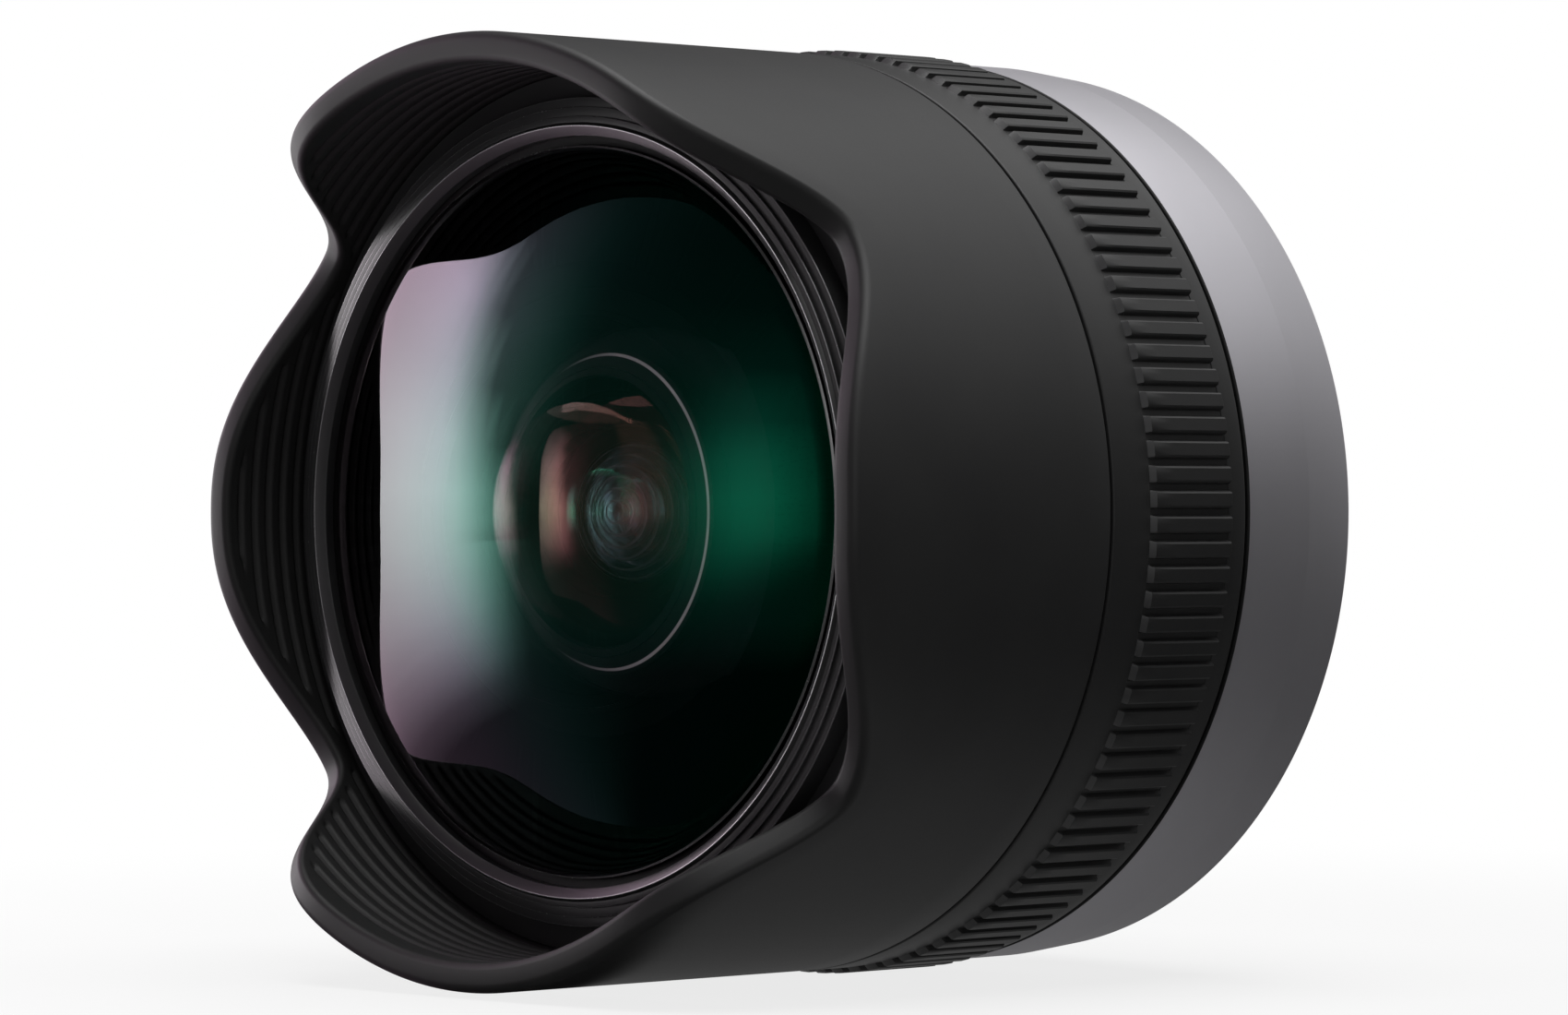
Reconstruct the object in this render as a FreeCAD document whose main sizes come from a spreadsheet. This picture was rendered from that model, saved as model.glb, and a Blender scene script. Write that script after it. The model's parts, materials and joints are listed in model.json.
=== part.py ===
import FreeCAD, Part
import math
import os
import re
from types import SimpleNamespace

import Sketcher
from FreeCAD import Placement, Rotation, Vector

# A fisheye camera lens with a fixed petal hood, a turning focus ring and a bayonet mount.
# Every piece is drawn in the lens's own frame: X to the right, Y up, Z forward along the
# optical axis from the mount's flange face. LENS_FRAME lays that axis along -Y, so that the
# finished lens points to -Y with Z up.
LENS_FRAME = Placement(Vector(0, 0, 0), Rotation(Vector(1, 0, 0), 90))
WHOLE_TURN = 360
HALF_TURN = 180
QUARTER_TURN = 90
LUGS = 3
MOUNT_SCREWS = 4
SCREWS = 3
BLADES = 7
CONTACTS = 11
RIBS = 120
COMB_SLOTS = 60
CAM_TEETH = 100
PINION_TEETH = 10

# Proportions: how the hood's edge bends, how much of their pitch the ribs and slots fill, the
# gears' teeth as shares of their module, and each chip's place and share of the chip size.
SIDE_PETAL_BEND = 1.3
TOP_PETAL_BEND = 2.8
RIB_ROOT_SHARE = 0.72
RIB_TOP_SHARE = 0.5
COMB_SHARE = 0.5
PRESSURE_ANGLE = 20
TOOTH_ROOT = 1.2
TOOTH_TIP = 0.85
TOOTH_ROOM = 2
FLANK_SHARES = (0.0, 0.35, 0.6, 0.8, 1.0)
CHIPS = ((0, 1.0), (75, 0.6), (140, 1.3), (215, 0.7), (290, 1.1))

# How far a cutting shape runs past what it cuts, and where a sketch's points start before
# their constraints place them.
CUT_ROOM = 1.0
START_DISTANCE = 10
START_RADIUS = 4

# How finely the hood's edge, the cam slots and the cam ring's outline are drawn, how far a slot
# runs on past its track as a share of a step, and how closely the hood's cut closes.
HOOD_EDGE_STEP = 5
SLOT_STEPS = 8
SLOT_OVERRUN = 1.5
TRIM_SIDES = 6
JOIN_TOLERANCE = 1e-5

# Driving sizes, in millimetres and degrees.
SIZES = [
    # outer shells, from the flange forward and outward
    ("mount_flange_radius", 26.0),
    ("mount_plate_thick", 1.1),
    ("rear_shell_length", 10.4),
    ("seam_gap", 0.25),
    ("ring_length", 12.5),
    ("shell_wall", 1.2),
    ("shell_taper_length", 3.4),
    ("shell_taper", 0.4),
    ("edge_break", 0.15),
    ("ring_wall", 2.55),
    ("barrel_wall", 1.55),
    ("hood_wall", 1.9),
    ("fit_gap", 0.05),
    ("running_gap", 0.05),
    # petal hood
    ("hood_depth", 11.1),
    ("side_petal_drop", 4.4),
    ("valley_drop", 9.75),
    ("valley_angle", 35.0),
    ("petal_flat_angle", 70.0),
    ("lip_round", 0.45),
    # focus ring
    ("grip_start", 1.65),
    ("grip_length", 7.5),
    ("grip_seat", 0.8),
    ("grip_proud", 0.35),
    ("rib_height", 0.5),
    ("rib_chamfer", 0.3),
    ("neck_length", 1.4),
    ("neck_gap", 0.3),
    ("comb_thick", 0.35),
    ("comb_room", 1.6),
    ("comb_width", 2.1),
    ("comb_slot_depth", 1.2),
    # inner tube
    ("tube_wall", 1.2),
    ("tube_step", 0.25),
    ("rear_tube_inset", 1.2),
    ("rear_flange_width", 4.4),
    ("rear_flange_thick", 1.5),
    ("flange_inset", 2.5),
    ("tube_flange_thick", 1.4),
    ("tube_flange_width", 3.2),
    ("ledge_thick", 1.2),
    ("ledge_width", 2.75),
    ("bulkhead_thick", 1.2),
    ("drag_ring_setback", 0.85),
    ("drag_ring_length", 1.4),
    ("drag_ring_thick", 0.6),
    # front lens cell
    ("cell_wall", 1.2),
    ("channel_width", 2.7),
    ("cell_plate_thick", 1.2),
    ("cell_seat_height", 6.75),
    ("cell_seat_width", 1.0),
    ("cell_hub_wall", 1.2),
    ("hub_clearance", 2.05),
    ("cell_tail", 2.0),
    ("cell_tail_wall", 1.15),
    ("baffle_thick", 0.5),
    ("clamp_ring_thick", 0.6),
    ("clamp_ring_inset", 0.1),
    ("clamp_ring_width", 0.85),
    ("second_clamp_thick", 0.7),
    ("front_screw_inset", 1.65),
    ("front_screw_radius", 0.8),
    ("front_head_radius", 1.2),
    ("front_head_thick", 0.8),
    # stepped trim ring round the front glass
    ("bezel_floor_drop", 1.0),
    ("bezel_floor_thick", 1.2),
    ("bezel_overhang", 0.31),
    ("bezel_lip", 0.65),
    ("bezel_height", 1.14),
    ("bezel_step_width", 0.6),
    ("bezel_step_drop", 0.24),
    ("bezel_ridge_width", 0.2),
    ("bezel_foot_flare", 0.12),
    # glass: radius, edge length and the curve of each face
    ("glass_ledge", 0.5),
    ("glass1_edge", 4.05),
    ("glass1_neck", 1.1),
    ("glass1_front_curve", 50.0),
    ("glass1_rear_curve", 16.0),
    ("glass1_rear_rim", 1.4),
    ("glass2_radius", 10.6),
    ("glass2_edge", 4.5),
    ("glass2_front_curve", 28.0),
    ("glass2_rear_curve", 10.2),
    ("glass2_rear_clear", 8.8),
    ("glass3_radius", 8.6),
    ("glass3_edge", 1.6),
    ("glass3_front_curve", 16.0),
    ("glass3_rear_curve", 60.0),
    ("glass3_inset", 0.3),
    ("glass4_radius", 5.7),
    ("glass4_edge", 1.2),
    ("glass4_front_curve", 14.0),
    ("glass4_rear_curve", 20.0),
    ("glass5_radius", 4.9),
    ("glass5_edge", 2.0),
    ("glass5_front_curve", 9.0),
    ("glass5_rear_curve", 30.0),
    ("glass5_gap", 1.2),
    ("glass6_radius", 5.1),
    ("glass6_edge", 1.8),
    ("glass6_front_curve", 20.0),
    ("glass6_rear_curve", 14.0),
    ("glass6_gap", 1.4),
    ("glass7_radius", 5.9),
    ("glass7_edge", 1.8),
    ("glass7_front_curve", 40.0),
    ("glass7_rear_curve", 12.0),
    ("glass8_edge", 1.8),
    ("glass8_rear_curve", 25.0),
    ("glass8_gap", 1.4),
    ("glass9_radius", 6.7),
    ("glass9_edge", 2.0),
    ("glass9_front_curve", 60.0),
    ("glass9_rear_curve", 30.0),
    ("glass9_gap", 2.0),
    ("glass9_ledge", 0.85),
    ("glass10_radius", 7.8),
    ("glass10_edge", 2.4),
    ("glass10_front_curve", 16.0),
    ("glass10_rear_curve", 50.0),
    ("glass10_ledge", 1.15),
    # focus drive
    ("focus_travel", 2.0),
    ("carriage_gap", 0.8),
    ("carriage_thick", 2.6),
    ("carriage_lip", 0.6),
    ("carriage_ring_wall", 1.65),
    ("carriage_sleeve_length", 5.0),
    ("carriage_sleeve_radius", 1.7),
    ("carriage_arm_thick", 1.4),
    ("carriage_arm_width", 3.0),
    ("fork_reach", 1.5),
    ("fork_play", 0.2),
    ("rod_radius", 0.75),
    ("main_rod_angle", 66.0),
    ("second_rod_angle", 250.0),
    ("rod_seat", 0.7),
    ("screw_angle", 90.0),
    ("screw_radius", 0.9),
    ("screw_tip_radius", 0.6),
    ("screw_passage_gap", 0.54),
    ("thread_gap", 0.08),
    ("nut_width", 3.6),
    ("nut_depth", 4.4),
    ("nut_length", 2.2),
    ("bracket_sheet", 0.6),
    ("bracket_width", 4.4),
    ("bracket_inset", 0.6),
    ("bracket_clearance", 0.4),
    ("motor_radius", 3.8),
    ("motor_length", 7.4),
    ("motor_room", 0.3),
    ("motor_skin", 0.9),
    ("rotor_gap", 0.2),
    # diaphragm
    ("stop_radius", 3.4),
    ("blade_hide", 0.3),
    ("blade_width", 4.2),
    ("blade_thick", 0.1),
    ("blade_pitch", 0.17),
    ("blade_swing_angle", 18.0),
    ("blade_start_angle", 16.0),
    ("blade_end_angle", 126.0),
    ("blade_tip_angle", 9.0),
    ("blade_neck_angle", 24.0),
    ("blade_shoulder_angle", 8.0),
    ("blade_heel_angle", 2.0),
    ("blade_heel_bulge_angle", 5.5),
    ("blade_ear", 0.9),
    ("pivot_circle", 10.0),
    ("pin_radius", 0.3),
    ("pin_inset", 0.7),
    ("pin_lead_angle", 18.0),
    ("cam_turn_angle", 30.0),
    ("cam_thick", 0.8),
    ("cam_play", 0.2),
    ("cam_rim", 1.92),
    ("cam_inset", 2.4),
    ("blade_gap", 0.23),
    ("blade_floor_gap", 0.1),
    ("base_thick", 1.0),
    ("base_gap", 0.4),
    ("cover_thick", 0.6),
    ("cover_gap", 0.95),
    ("cover_boss_wall", 0.85),
    ("post_radius", 1.0),
    ("post_rim", 0.1),
    ("post_angle", 30.0),
    ("gear_backlash", 0.05),
    ("gear_play", 0.05),
    ("cam_spare_angle", 12.0),
    ("pinion_angle", 200.0),
    ("pinion_shaft_radius", 0.5),
    ("pinion_tail_radius", 0.4),
    ("pinion_motor_radius", 2.3),
    ("pinion_motor_skin", 0.5),
    ("pinion_motor_length", 6.0),
    ("small_screw_radius", 0.5),
    ("small_head_radius", 0.9),
    ("small_head_thick", 0.5),
    ("screw_shortfall", 0.2),
    # rear lens cell
    ("rear_cell_lip", 0.6),
    ("rear_cell_radius", 9.4),
    ("rear_cell_flange_width", 1.9),
    ("rear_cell_screw_offset", 1.1),
    ("rear_cell_flange_thick", 1.2),
    ("rear_ring_thick", 0.6),
    ("filter_frame_gap", 0.6),
    ("filter_frame_thick", 1.6),
    ("filter_window_width", 15.0),
    ("filter_window_height", 11.0),
    ("filter_slot", 0.5),
    ("filter_slot_width", 18.0),
    # mount and electronics
    ("bayonet_radius", 18.6),
    ("bayonet_wall", 1.3),
    ("bayonet_length", 4.2),
    ("lug_height", 1.8),
    ("lug_setback", 1.3),
    ("lug_thick", 1.6),
    ("lug_half_angle", 24.0),
    ("lug_angle", 40.0),
    ("mount_screw_inset", 2.4),
    ("mount_screw_angle", 45.0),
    ("mount_screw_radius", 0.75),
    ("mount_head_radius", 1.5),
    ("mount_head_thick", 0.65),
    ("lock_hole_angle", 175.0),
    ("lock_hole_radius", 1.3),
    ("shield_thick", 1.1),
    ("shield_front", 0.1),
    ("contact_block_width", 3.7),
    ("contact_block_half_angle", 38.0),
    ("block_play_angle", 0.5),
    ("contact_block_front", 0.9),
    ("contact_block_rear", 4.0),
    ("contact_angle", 270.0),
    ("contact_inset", 1.9),
    ("contact_radius", 0.55),
    ("contact_pitch_angle", 6.2),
    ("contact_proud", 0.2),
    ("contact_depth", 1.5),
    ("ribbon_thick", 0.15),
    ("ribbon_width", 9.0),
    ("ribbon_clearance", 2.0),
    ("board_thick", 0.8),
    ("board_bore", 12.8),
    ("board_clearance", 0.4),
    ("chip_height", 1.2),
    ("chip_size", 5.0),
    ("chip_inset", 1.7),
    ("sensor_width", 3.2),
    ("sensor_arm", 0.9),
    ("sensor_gap", 0.3),
    ("sensor_angle", 20.0),
    ("sensor_pitch_angle", 9.0),
    ("dot_radius", 1.0),
    ("dot_depth", 0.6),
    ("dot_angle", 130.0),
    ("dot_station", 6.4),
]

# Places that follow from the driving sizes. Stations are measured forward from the flange.
PLACES = [
    ("flange_face", "0"),
    ("shell_end", "mount_plate_thick + rear_shell_length"),
    ("ring_rear", "shell_end + seam_gap"),
    ("ring_front", "ring_rear + ring_length"),
    ("barrel_rear", "ring_front + seam_gap"),
    ("tube_flange_rear", "barrel_rear + flange_inset"),
    ("ledge_rear", "tube_flange_rear + tube_flange_thick"),
    ("cell_rear", "ledge_rear + ledge_thick"),
    ("cell_plate_front", "cell_rear + cell_plate_thick"),
    ("cell_seat", "cell_rear + cell_seat_height"),
    ("glass1_seat", "cell_seat + baffle_thick"),
    ("glass1_ledge", "glass1_seat + glass1_edge"),
    ("cell_front", "glass1_ledge + clamp_ring_thick + clamp_ring_inset"),
    ("channel_floor", "cell_front - bezel_floor_drop"),
    ("hood_tip", "channel_floor + hood_depth"),
    ("tail_rear", "cell_rear - cell_tail"),
    ("glass3_seat", "tail_rear + glass3_inset"),
    # radii, outward from the mount and then inward from the barrel
    ("rear_tube_radius", "mount_flange_radius - rear_tube_inset"),
    ("rear_tube_bore", "rear_tube_radius - tube_wall"),
    ("rear_flange_bore", "rear_tube_radius - rear_flange_width"),
    ("mount_screw_circle", "rear_tube_radius - mount_screw_inset"),
    ("comb_bore", "rear_tube_radius + comb_room"),
    ("neck_radius", "comb_bore + comb_width"),
    ("shell_inner", "neck_radius + neck_gap"),
    ("barrel_radius", "shell_inner + shell_wall"),
    ("hood_inner", "barrel_radius - hood_wall"),
    ("cell_radius", "hood_inner - channel_width"),
    ("cell_bore", "cell_radius - cell_wall"),
    ("glass1_radius", "cell_bore - fit_gap"),
    ("glass1_ledge_width", "clamp_ring_width + fit_gap"),
    ("glass1_rear_clear", "glass1_rear_curve - glass1_rear_rim"),
    ("bezel_bore", "glass1_radius - bezel_overhang"),
    ("bezel_ridge_radius", "bezel_bore + bezel_lip"),
    ("barrel_bore", "barrel_radius - barrel_wall"),
    ("tube_flange_radius", "barrel_bore - fit_gap"),
    ("tube_flange_bore", "tube_flange_radius - tube_flange_width"),
    ("cell_flange_radius", "hood_inner - 2 * fit_gap"),
    ("front_screw_circle", "tube_flange_radius - front_screw_inset"),
    ("ring_bore", "barrel_radius - ring_wall"),
    ("tube_radius", "ring_bore - running_gap"),
    ("tube_bore", "tube_radius - tube_wall"),
    ("grip_bore", "barrel_radius - grip_seat"),
    ("grip_radius", "barrel_radius + grip_proud"),
    ("bayonet_bore", "bayonet_radius - bayonet_wall"),
    ("lug_radius", "bayonet_radius + lug_height"),
    ("contact_circle", "bayonet_bore - contact_inset"),
    ("contact_block_inner", "bayonet_bore - contact_block_width"),
    ("filter_frame_radius", "contact_block_inner - filter_frame_gap"),
    ("drag_ring_front", "ring_front - drag_ring_setback"),
    ("drag_ring_rear", "drag_ring_front - drag_ring_length"),
    # the hub of the second glass stands in the hollow of the first
    ("hub_radius", "glass2_radius + fit_gap + cell_hub_wall"),
    ("hollow_centre", "glass1_seat - sqrt(glass1_rear_curve ^ 2 - glass1_rear_clear ^ 2)"),
    ("hub_front", "hollow_centre + sqrt(glass1_rear_curve ^ 2 - hub_radius ^ 2) - hub_clearance"),
    ("glass2_front", "hub_front - second_clamp_thick"),
    ("glass2_seat", "glass2_front - glass2_edge"),
    # radii of the drives and the diaphragm, inward from the rear tube
    ("rod_circle", "rear_tube_bore - motor_radius - motor_room"),
    ("bracket_reach", "tube_flange_bore - bracket_inset"),
    ("base_radius", "rod_circle - carriage_sleeve_radius - base_gap"),
    ("bracket_foot", "base_radius + base_gap"),
    ("post_circle", "base_radius - post_radius - post_rim"),
    ("cam_pitch_radius", "base_radius - cam_inset"),
    ("gear_module", "2 * cam_pitch_radius / %d" % CAM_TEETH),
    ("pinion_pitch_radius", "gear_module * %d / 2" % PINION_TEETH),
    ("pinion_circle", "cam_pitch_radius + pinion_pitch_radius + gear_play"),
    ("blade_open_radius", "stop_radius + blade_hide"),
    ("pin_circle", "pivot_circle - pin_inset"),
    ("cam_bore", "pin_circle - cam_rim"),
    ("rear_cell_flange_radius", "rear_cell_radius + rear_cell_flange_width"),
    ("rear_cell_screw_circle", "rear_cell_radius + rear_cell_screw_offset"),
    # focus and diaphragm, counted rearward from the front cell
    ("carriage_front", "tail_rear - carriage_gap - focus_travel"),
    ("carriage_rear", "carriage_front - carriage_thick"),
    ("cover_front", "carriage_rear - cover_gap"),
    ("cover_rear", "cover_front - cover_thick"),
    ("cam_rear", "cover_rear - cam_play - cam_thick"),
    ("blade_rear", "cam_rear - blade_gap - %d * blade_pitch - blade_thick" % (BLADES - 1)),
    ("base_front", "blade_rear - blade_floor_gap"),
    ("base_rear", "base_front - base_thick"),
    ("bulkhead_rear", "base_rear - bulkhead_thick"),
    ("glass4_seat", "carriage_rear + carriage_lip"),
    ("arm_rear", "carriage_rear + carriage_lip"),
    # rear lens cell, counted rearward from the bulkhead
    ("glass5_front", "base_rear - rear_cell_lip"),
    ("glass5_seat", "glass5_front - glass5_edge"),
    ("glass6_front", "glass5_seat - glass5_gap"),
    ("glass6_seat", "glass6_front - glass6_edge"),
    ("glass7_front", "glass6_seat - glass6_gap"),
    ("glass7_seat", "glass7_front - glass7_edge"),
    ("glass8_seat", "glass7_seat - glass8_edge"),
    ("glass9_front", "glass8_seat - glass8_gap"),
    ("glass9_seat", "glass9_front - glass9_edge"),
    ("glass10_front", "glass9_seat - glass9_gap"),
    ("glass10_seat", "glass10_front - glass10_edge"),
    ("rear_cell_rear", "glass10_seat - rear_ring_thick"),
    ("filter_frame_rear", "rear_cell_rear - filter_frame_thick"),
    # focus drive
    ("screw_tip_rear", "cell_rear - bracket_clearance - bracket_sheet"),
    ("rod_front", "cell_rear + rod_seat - fit_gap"),
    ("motor_rear", "bulkhead_rear - motor_length"),
    ("pinion_motor_rear", "bulkhead_rear - pinion_motor_length"),
    # electronics
    ("lug_root", "bayonet_radius - bayonet_wall / 3"),
    ("contact_block_outer", "bayonet_bore - fit_gap"),
    ("block_cut_inner", "contact_block_inner - fit_gap"),
    ("block_cut_outer", "bayonet_bore + bayonet_wall / 2"),
    ("block_cut_half_angle", "contact_block_half_angle + block_play_angle"),
    ("board_rear", "mount_plate_thick + rear_flange_thick"),
    ("board_front", "board_rear + board_thick"),
    ("comb_front", "ring_rear - neck_length"),
    ("comb_rear", "comb_front - comb_thick"),
]

doc = FreeCAD.newDocument("camera_lens")


def fill_sheet(name, rows):
    """A spreadsheet with one named value in each row."""
    sheet = doc.addObject("Spreadsheet::Sheet", name)
    for row, (alias, content) in enumerate(rows, 1):
        sheet.set("A%d" % row, alias)
        sheet.set("B%d" % row, content)
        sheet.setAlias("B%d" % row, alias)
    return sheet


SHEET_OF = {alias: "Dim" for alias, _ in SIZES}
SHEET_OF.update({alias: "Place" for alias, _ in PLACES})


def formula(text):
    """The expression for a sum of named sizes, each name with the sheet that holds it."""
    return re.sub(r"[a-z][a-z0-9_]*", lambda word: SHEET_OF.get(word[0], "") + "." + word[0]
                  if word[0] in SHEET_OF else word[0], str(text))


dim = fill_sheet("Dim", [(alias, str(size)) for alias, size in SIZES])
place = fill_sheet("Place", [(alias, "=" + formula(text)) for alias, text in PLACES])
doc.recompute()
v = SimpleNamespace(**{alias: float(getattr(dim, alias)) for alias, _ in SIZES},
                    **{alias: float(getattr(place, alias)) for alias, _ in PLACES})

pieces = []


def new_body(label):
    """An empty body for one piece of the lens."""
    body = doc.addObject("PartDesign::Body", label)
    body.Label = label
    body.AllowCompound = True
    body.Placement = LENS_FRAME
    pieces.append(body)
    return body


def new_feature(label, shape):
    """A piece whose shape is worked out point by point."""
    feature = doc.addObject("Part::Feature", label)
    feature.Label = label
    feature.Shape = shape
    feature.Placement = LENS_FRAME * shape.Placement
    pieces.append(feature)
    return feature


def origin_of(body, role):
    """The body's own plane or axis of that role."""
    return next(item for item in body.Origin.OriginFeatures if item.Role == role)


def polar(radius, degrees, station=0.0):
    """A point at a radius and an angle."""
    angle = math.radians(degrees)
    return Vector(radius * math.cos(angle), radius * math.sin(angle), station)


def sketch_across(body, name, station, angle=0):
    """A sketch square to the optical axis, its own X axis turned to an angle round the lens."""
    sketch = body.newObject("Sketcher::SketchObject", name)
    sketch.AttachmentSupport = (origin_of(body, "XY_Plane"), [""])
    sketch.MapMode = "FlatFace"
    sketch.AttachmentOffset = Placement(Vector(0, 0, 0), Rotation(Vector(0, 0, 1), 1))
    sketch.setExpression(".AttachmentOffset.Base.z", formula(station))
    sketch.setExpression(".AttachmentOffset.Rotation.Angle", formula(angle))
    return sketch


def sketch_section(body, name):
    """A sketch in the plane of the optical axis: X is the radius and Y the station."""
    sketch = body.newObject("Sketcher::SketchObject", name)
    sketch.AttachmentSupport = (origin_of(body, "XZ_Plane"), [""])
    sketch.MapMode = "FlatFace"
    return sketch


def sketch_radial(body, name, radius, angle, station):
    """A sketch that faces outward at a radius, an angle and a station."""
    sketch = body.newObject("Sketcher::SketchObject", name)
    sketch.AttachmentSupport = (origin_of(body, "YZ_Plane"), [""])
    sketch.MapMode = "FlatFace"
    sketch.AttachmentOffset = Placement(Vector(0, 0, 0), Rotation(Vector(0, 1, 0), 1))
    sketch.setExpression(".AttachmentOffset.Base.x", formula("(%s) * sin(%s)" % (radius, angle)))
    sketch.setExpression(".AttachmentOffset.Base.y", formula(station))
    sketch.setExpression(".AttachmentOffset.Base.z", formula("(%s) * cos(%s)" % (radius, angle)))
    sketch.setExpression(".AttachmentOffset.Rotation.Angle", formula(angle))
    return sketch


def fix_point(sketch, edge, end, x, y):
    """Hold one end of an edge at a named place."""
    drawn = sketch.getPoint(edge, end)
    for kind, text, guess in (("DistanceX", x, drawn.x), ("DistanceY", y, drawn.y)):
        if text is None:
            continue
        index = sketch.addConstraint(Sketcher.Constraint(kind, -1, 1, edge, end, guess))
        sketch.setExpression("Constraints[%d]" % index, formula(text))


def add_polygon(sketch, points):
    """A closed outline of straight lines through named points."""
    count = len(points)
    start = sketch.GeometryCount
    corners = [Vector(START_DISTANCE, 0, 0) + polar(START_RADIUS, k * WHOLE_TURN / count)
               for k in range(count)]
    sketch.addGeometry([Part.LineSegment(corners[k], corners[(k + 1) % count]) for k in range(count)])
    sketch.addConstraint([Sketcher.Constraint("Coincident", start + k, 2, start + (k + 1) % count, 1)
                          for k in range(count)])
    for k, (x, y) in enumerate(points):
        fix_point(sketch, start + k, 1, x, y)


def add_rectangle(sketch, x_low, x_high, width):
    """A rectangle along the sketch's X axis, centred on it."""
    half = "(%s) / 2" % width
    add_polygon(sketch, [(x_low, "-" + half), (x_high, "-" + half), (x_high, half), (x_low, half)])


def add_circle(sketch, distance, radius):
    """A circle on the sketch's X axis, or round its origin where the distance is None."""
    start = sketch.GeometryCount
    sketch.addGeometry(Part.Circle(Vector(START_DISTANCE, 0, 0), Vector(0, 0, 1), START_RADIUS))
    if distance is None:
        sketch.addConstraint(Sketcher.Constraint("Coincident", start, 3, -1, 1))
    else:
        sketch.addConstraint(Sketcher.Constraint("PointOnObject", start, 3, -1))
        fix_point(sketch, start, 3, distance, None)
    index = sketch.addConstraint(Sketcher.Constraint("Radius", start, START_RADIUS))
    sketch.setExpression("Constraints[%d]" % index, formula(radius))


def add_sector(sketch, inner, outer, half_angle):
    """A sector of a ring, centred on the sketch's X axis."""
    start = sketch.GeometryCount
    swing = math.radians(getattr(v, half_angle))
    for radius in (inner, outer):
        circle = Part.Circle(Vector(0, 0, 0), Vector(0, 0, 1), getattr(v, radius))
        sketch.addGeometry(Part.ArcOfCircle(circle, -swing, swing))
    inner_arc, outer_arc = start, start + 1
    near, far = ([sketch.getPoint(arc, end) for end in (1, 2)] for arc in (inner_arc, outer_arc))
    sketch.addGeometry([Part.LineSegment(near[0], far[0]), Part.LineSegment(far[1], near[1])])
    for edge, end, arc, arc_end in ((start + 2, 1, inner_arc, 1), (start + 2, 2, outer_arc, 1),
                                    (start + 3, 1, outer_arc, 2), (start + 3, 2, inner_arc, 2)):
        sketch.addConstraint(Sketcher.Constraint("Coincident", edge, end, arc, arc_end))
    for arc, radius in ((inner_arc, inner), (outer_arc, outer)):
        sketch.addConstraint(Sketcher.Constraint("Coincident", arc, 3, -1, 1))
        across, up = "%s * cos(%s)" % (radius, half_angle), "%s * sin(%s)" % (radius, half_angle)
        fix_point(sketch, arc, 1, across, "-" + up)
        fix_point(sketch, arc, 2, None, up)


def add_feature(body, kind, sketch, length):
    """A pad forward of a sketch or a pocket cut rearward of it."""
    feature = body.newObject("PartDesign::" + kind, sketch.Name + "_" + kind.lower())
    feature.Profile = sketch
    feature.setExpression("Length", formula(length))
    return feature


def repeat(body, features, count):
    """Copies of features, evenly round the optical axis."""
    pattern = body.newObject("PartDesign::PolarPattern", features[-1].Name + "_pattern")
    pattern.Originals = features
    pattern.Axis = (origin_of(body, "Z_Axis"), [""])
    pattern.Angle = WHOLE_TURN
    pattern.Occurrences = count
    body.Tip = pattern


def turn_section(body, sketch):
    """Turn a section round the optical axis."""
    feature = body.newObject("PartDesign::Revolution", sketch.Name + "_turned")
    feature.Profile = sketch
    feature.ReferenceAxis = (sketch, ["V_Axis"])
    feature.Angle = WHOLE_TURN
    return feature


def turned(label, section):
    """A turned piece, from the corners of its section as radius and station."""
    body = new_body(label)
    sketch = sketch_section(body, label + "_section")
    add_polygon(sketch, section)
    turn_section(body, sketch)
    return body


def drill(body, name, front, depth, holes, angle=0, count=1):
    """Round holes cut rearward from a station, repeated round the axis."""
    sketch = sketch_across(body, name, front, angle)
    for distance, radius in holes:
        add_circle(sketch, distance, radius)
    pocket = add_feature(body, "Pocket", sketch, depth)
    if count > 1:
        repeat(body, [pocket], count)


def post(body, name, rear, length, distance, radius, angle=0):
    """A round pad that stands forward of a station."""
    sketch = sketch_across(body, name, rear, angle)
    add_circle(sketch, distance, radius)
    return add_feature(body, "Pad", sketch, length)


def block(body, name, rear, length, x_low, x_high, width, angle=0):
    """A square pad that stands forward of a station, along a radius."""
    sketch = sketch_across(body, name, rear, angle)
    add_rectangle(sketch, x_low, x_high, width)
    return add_feature(body, "Pad", sketch, length)


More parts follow.
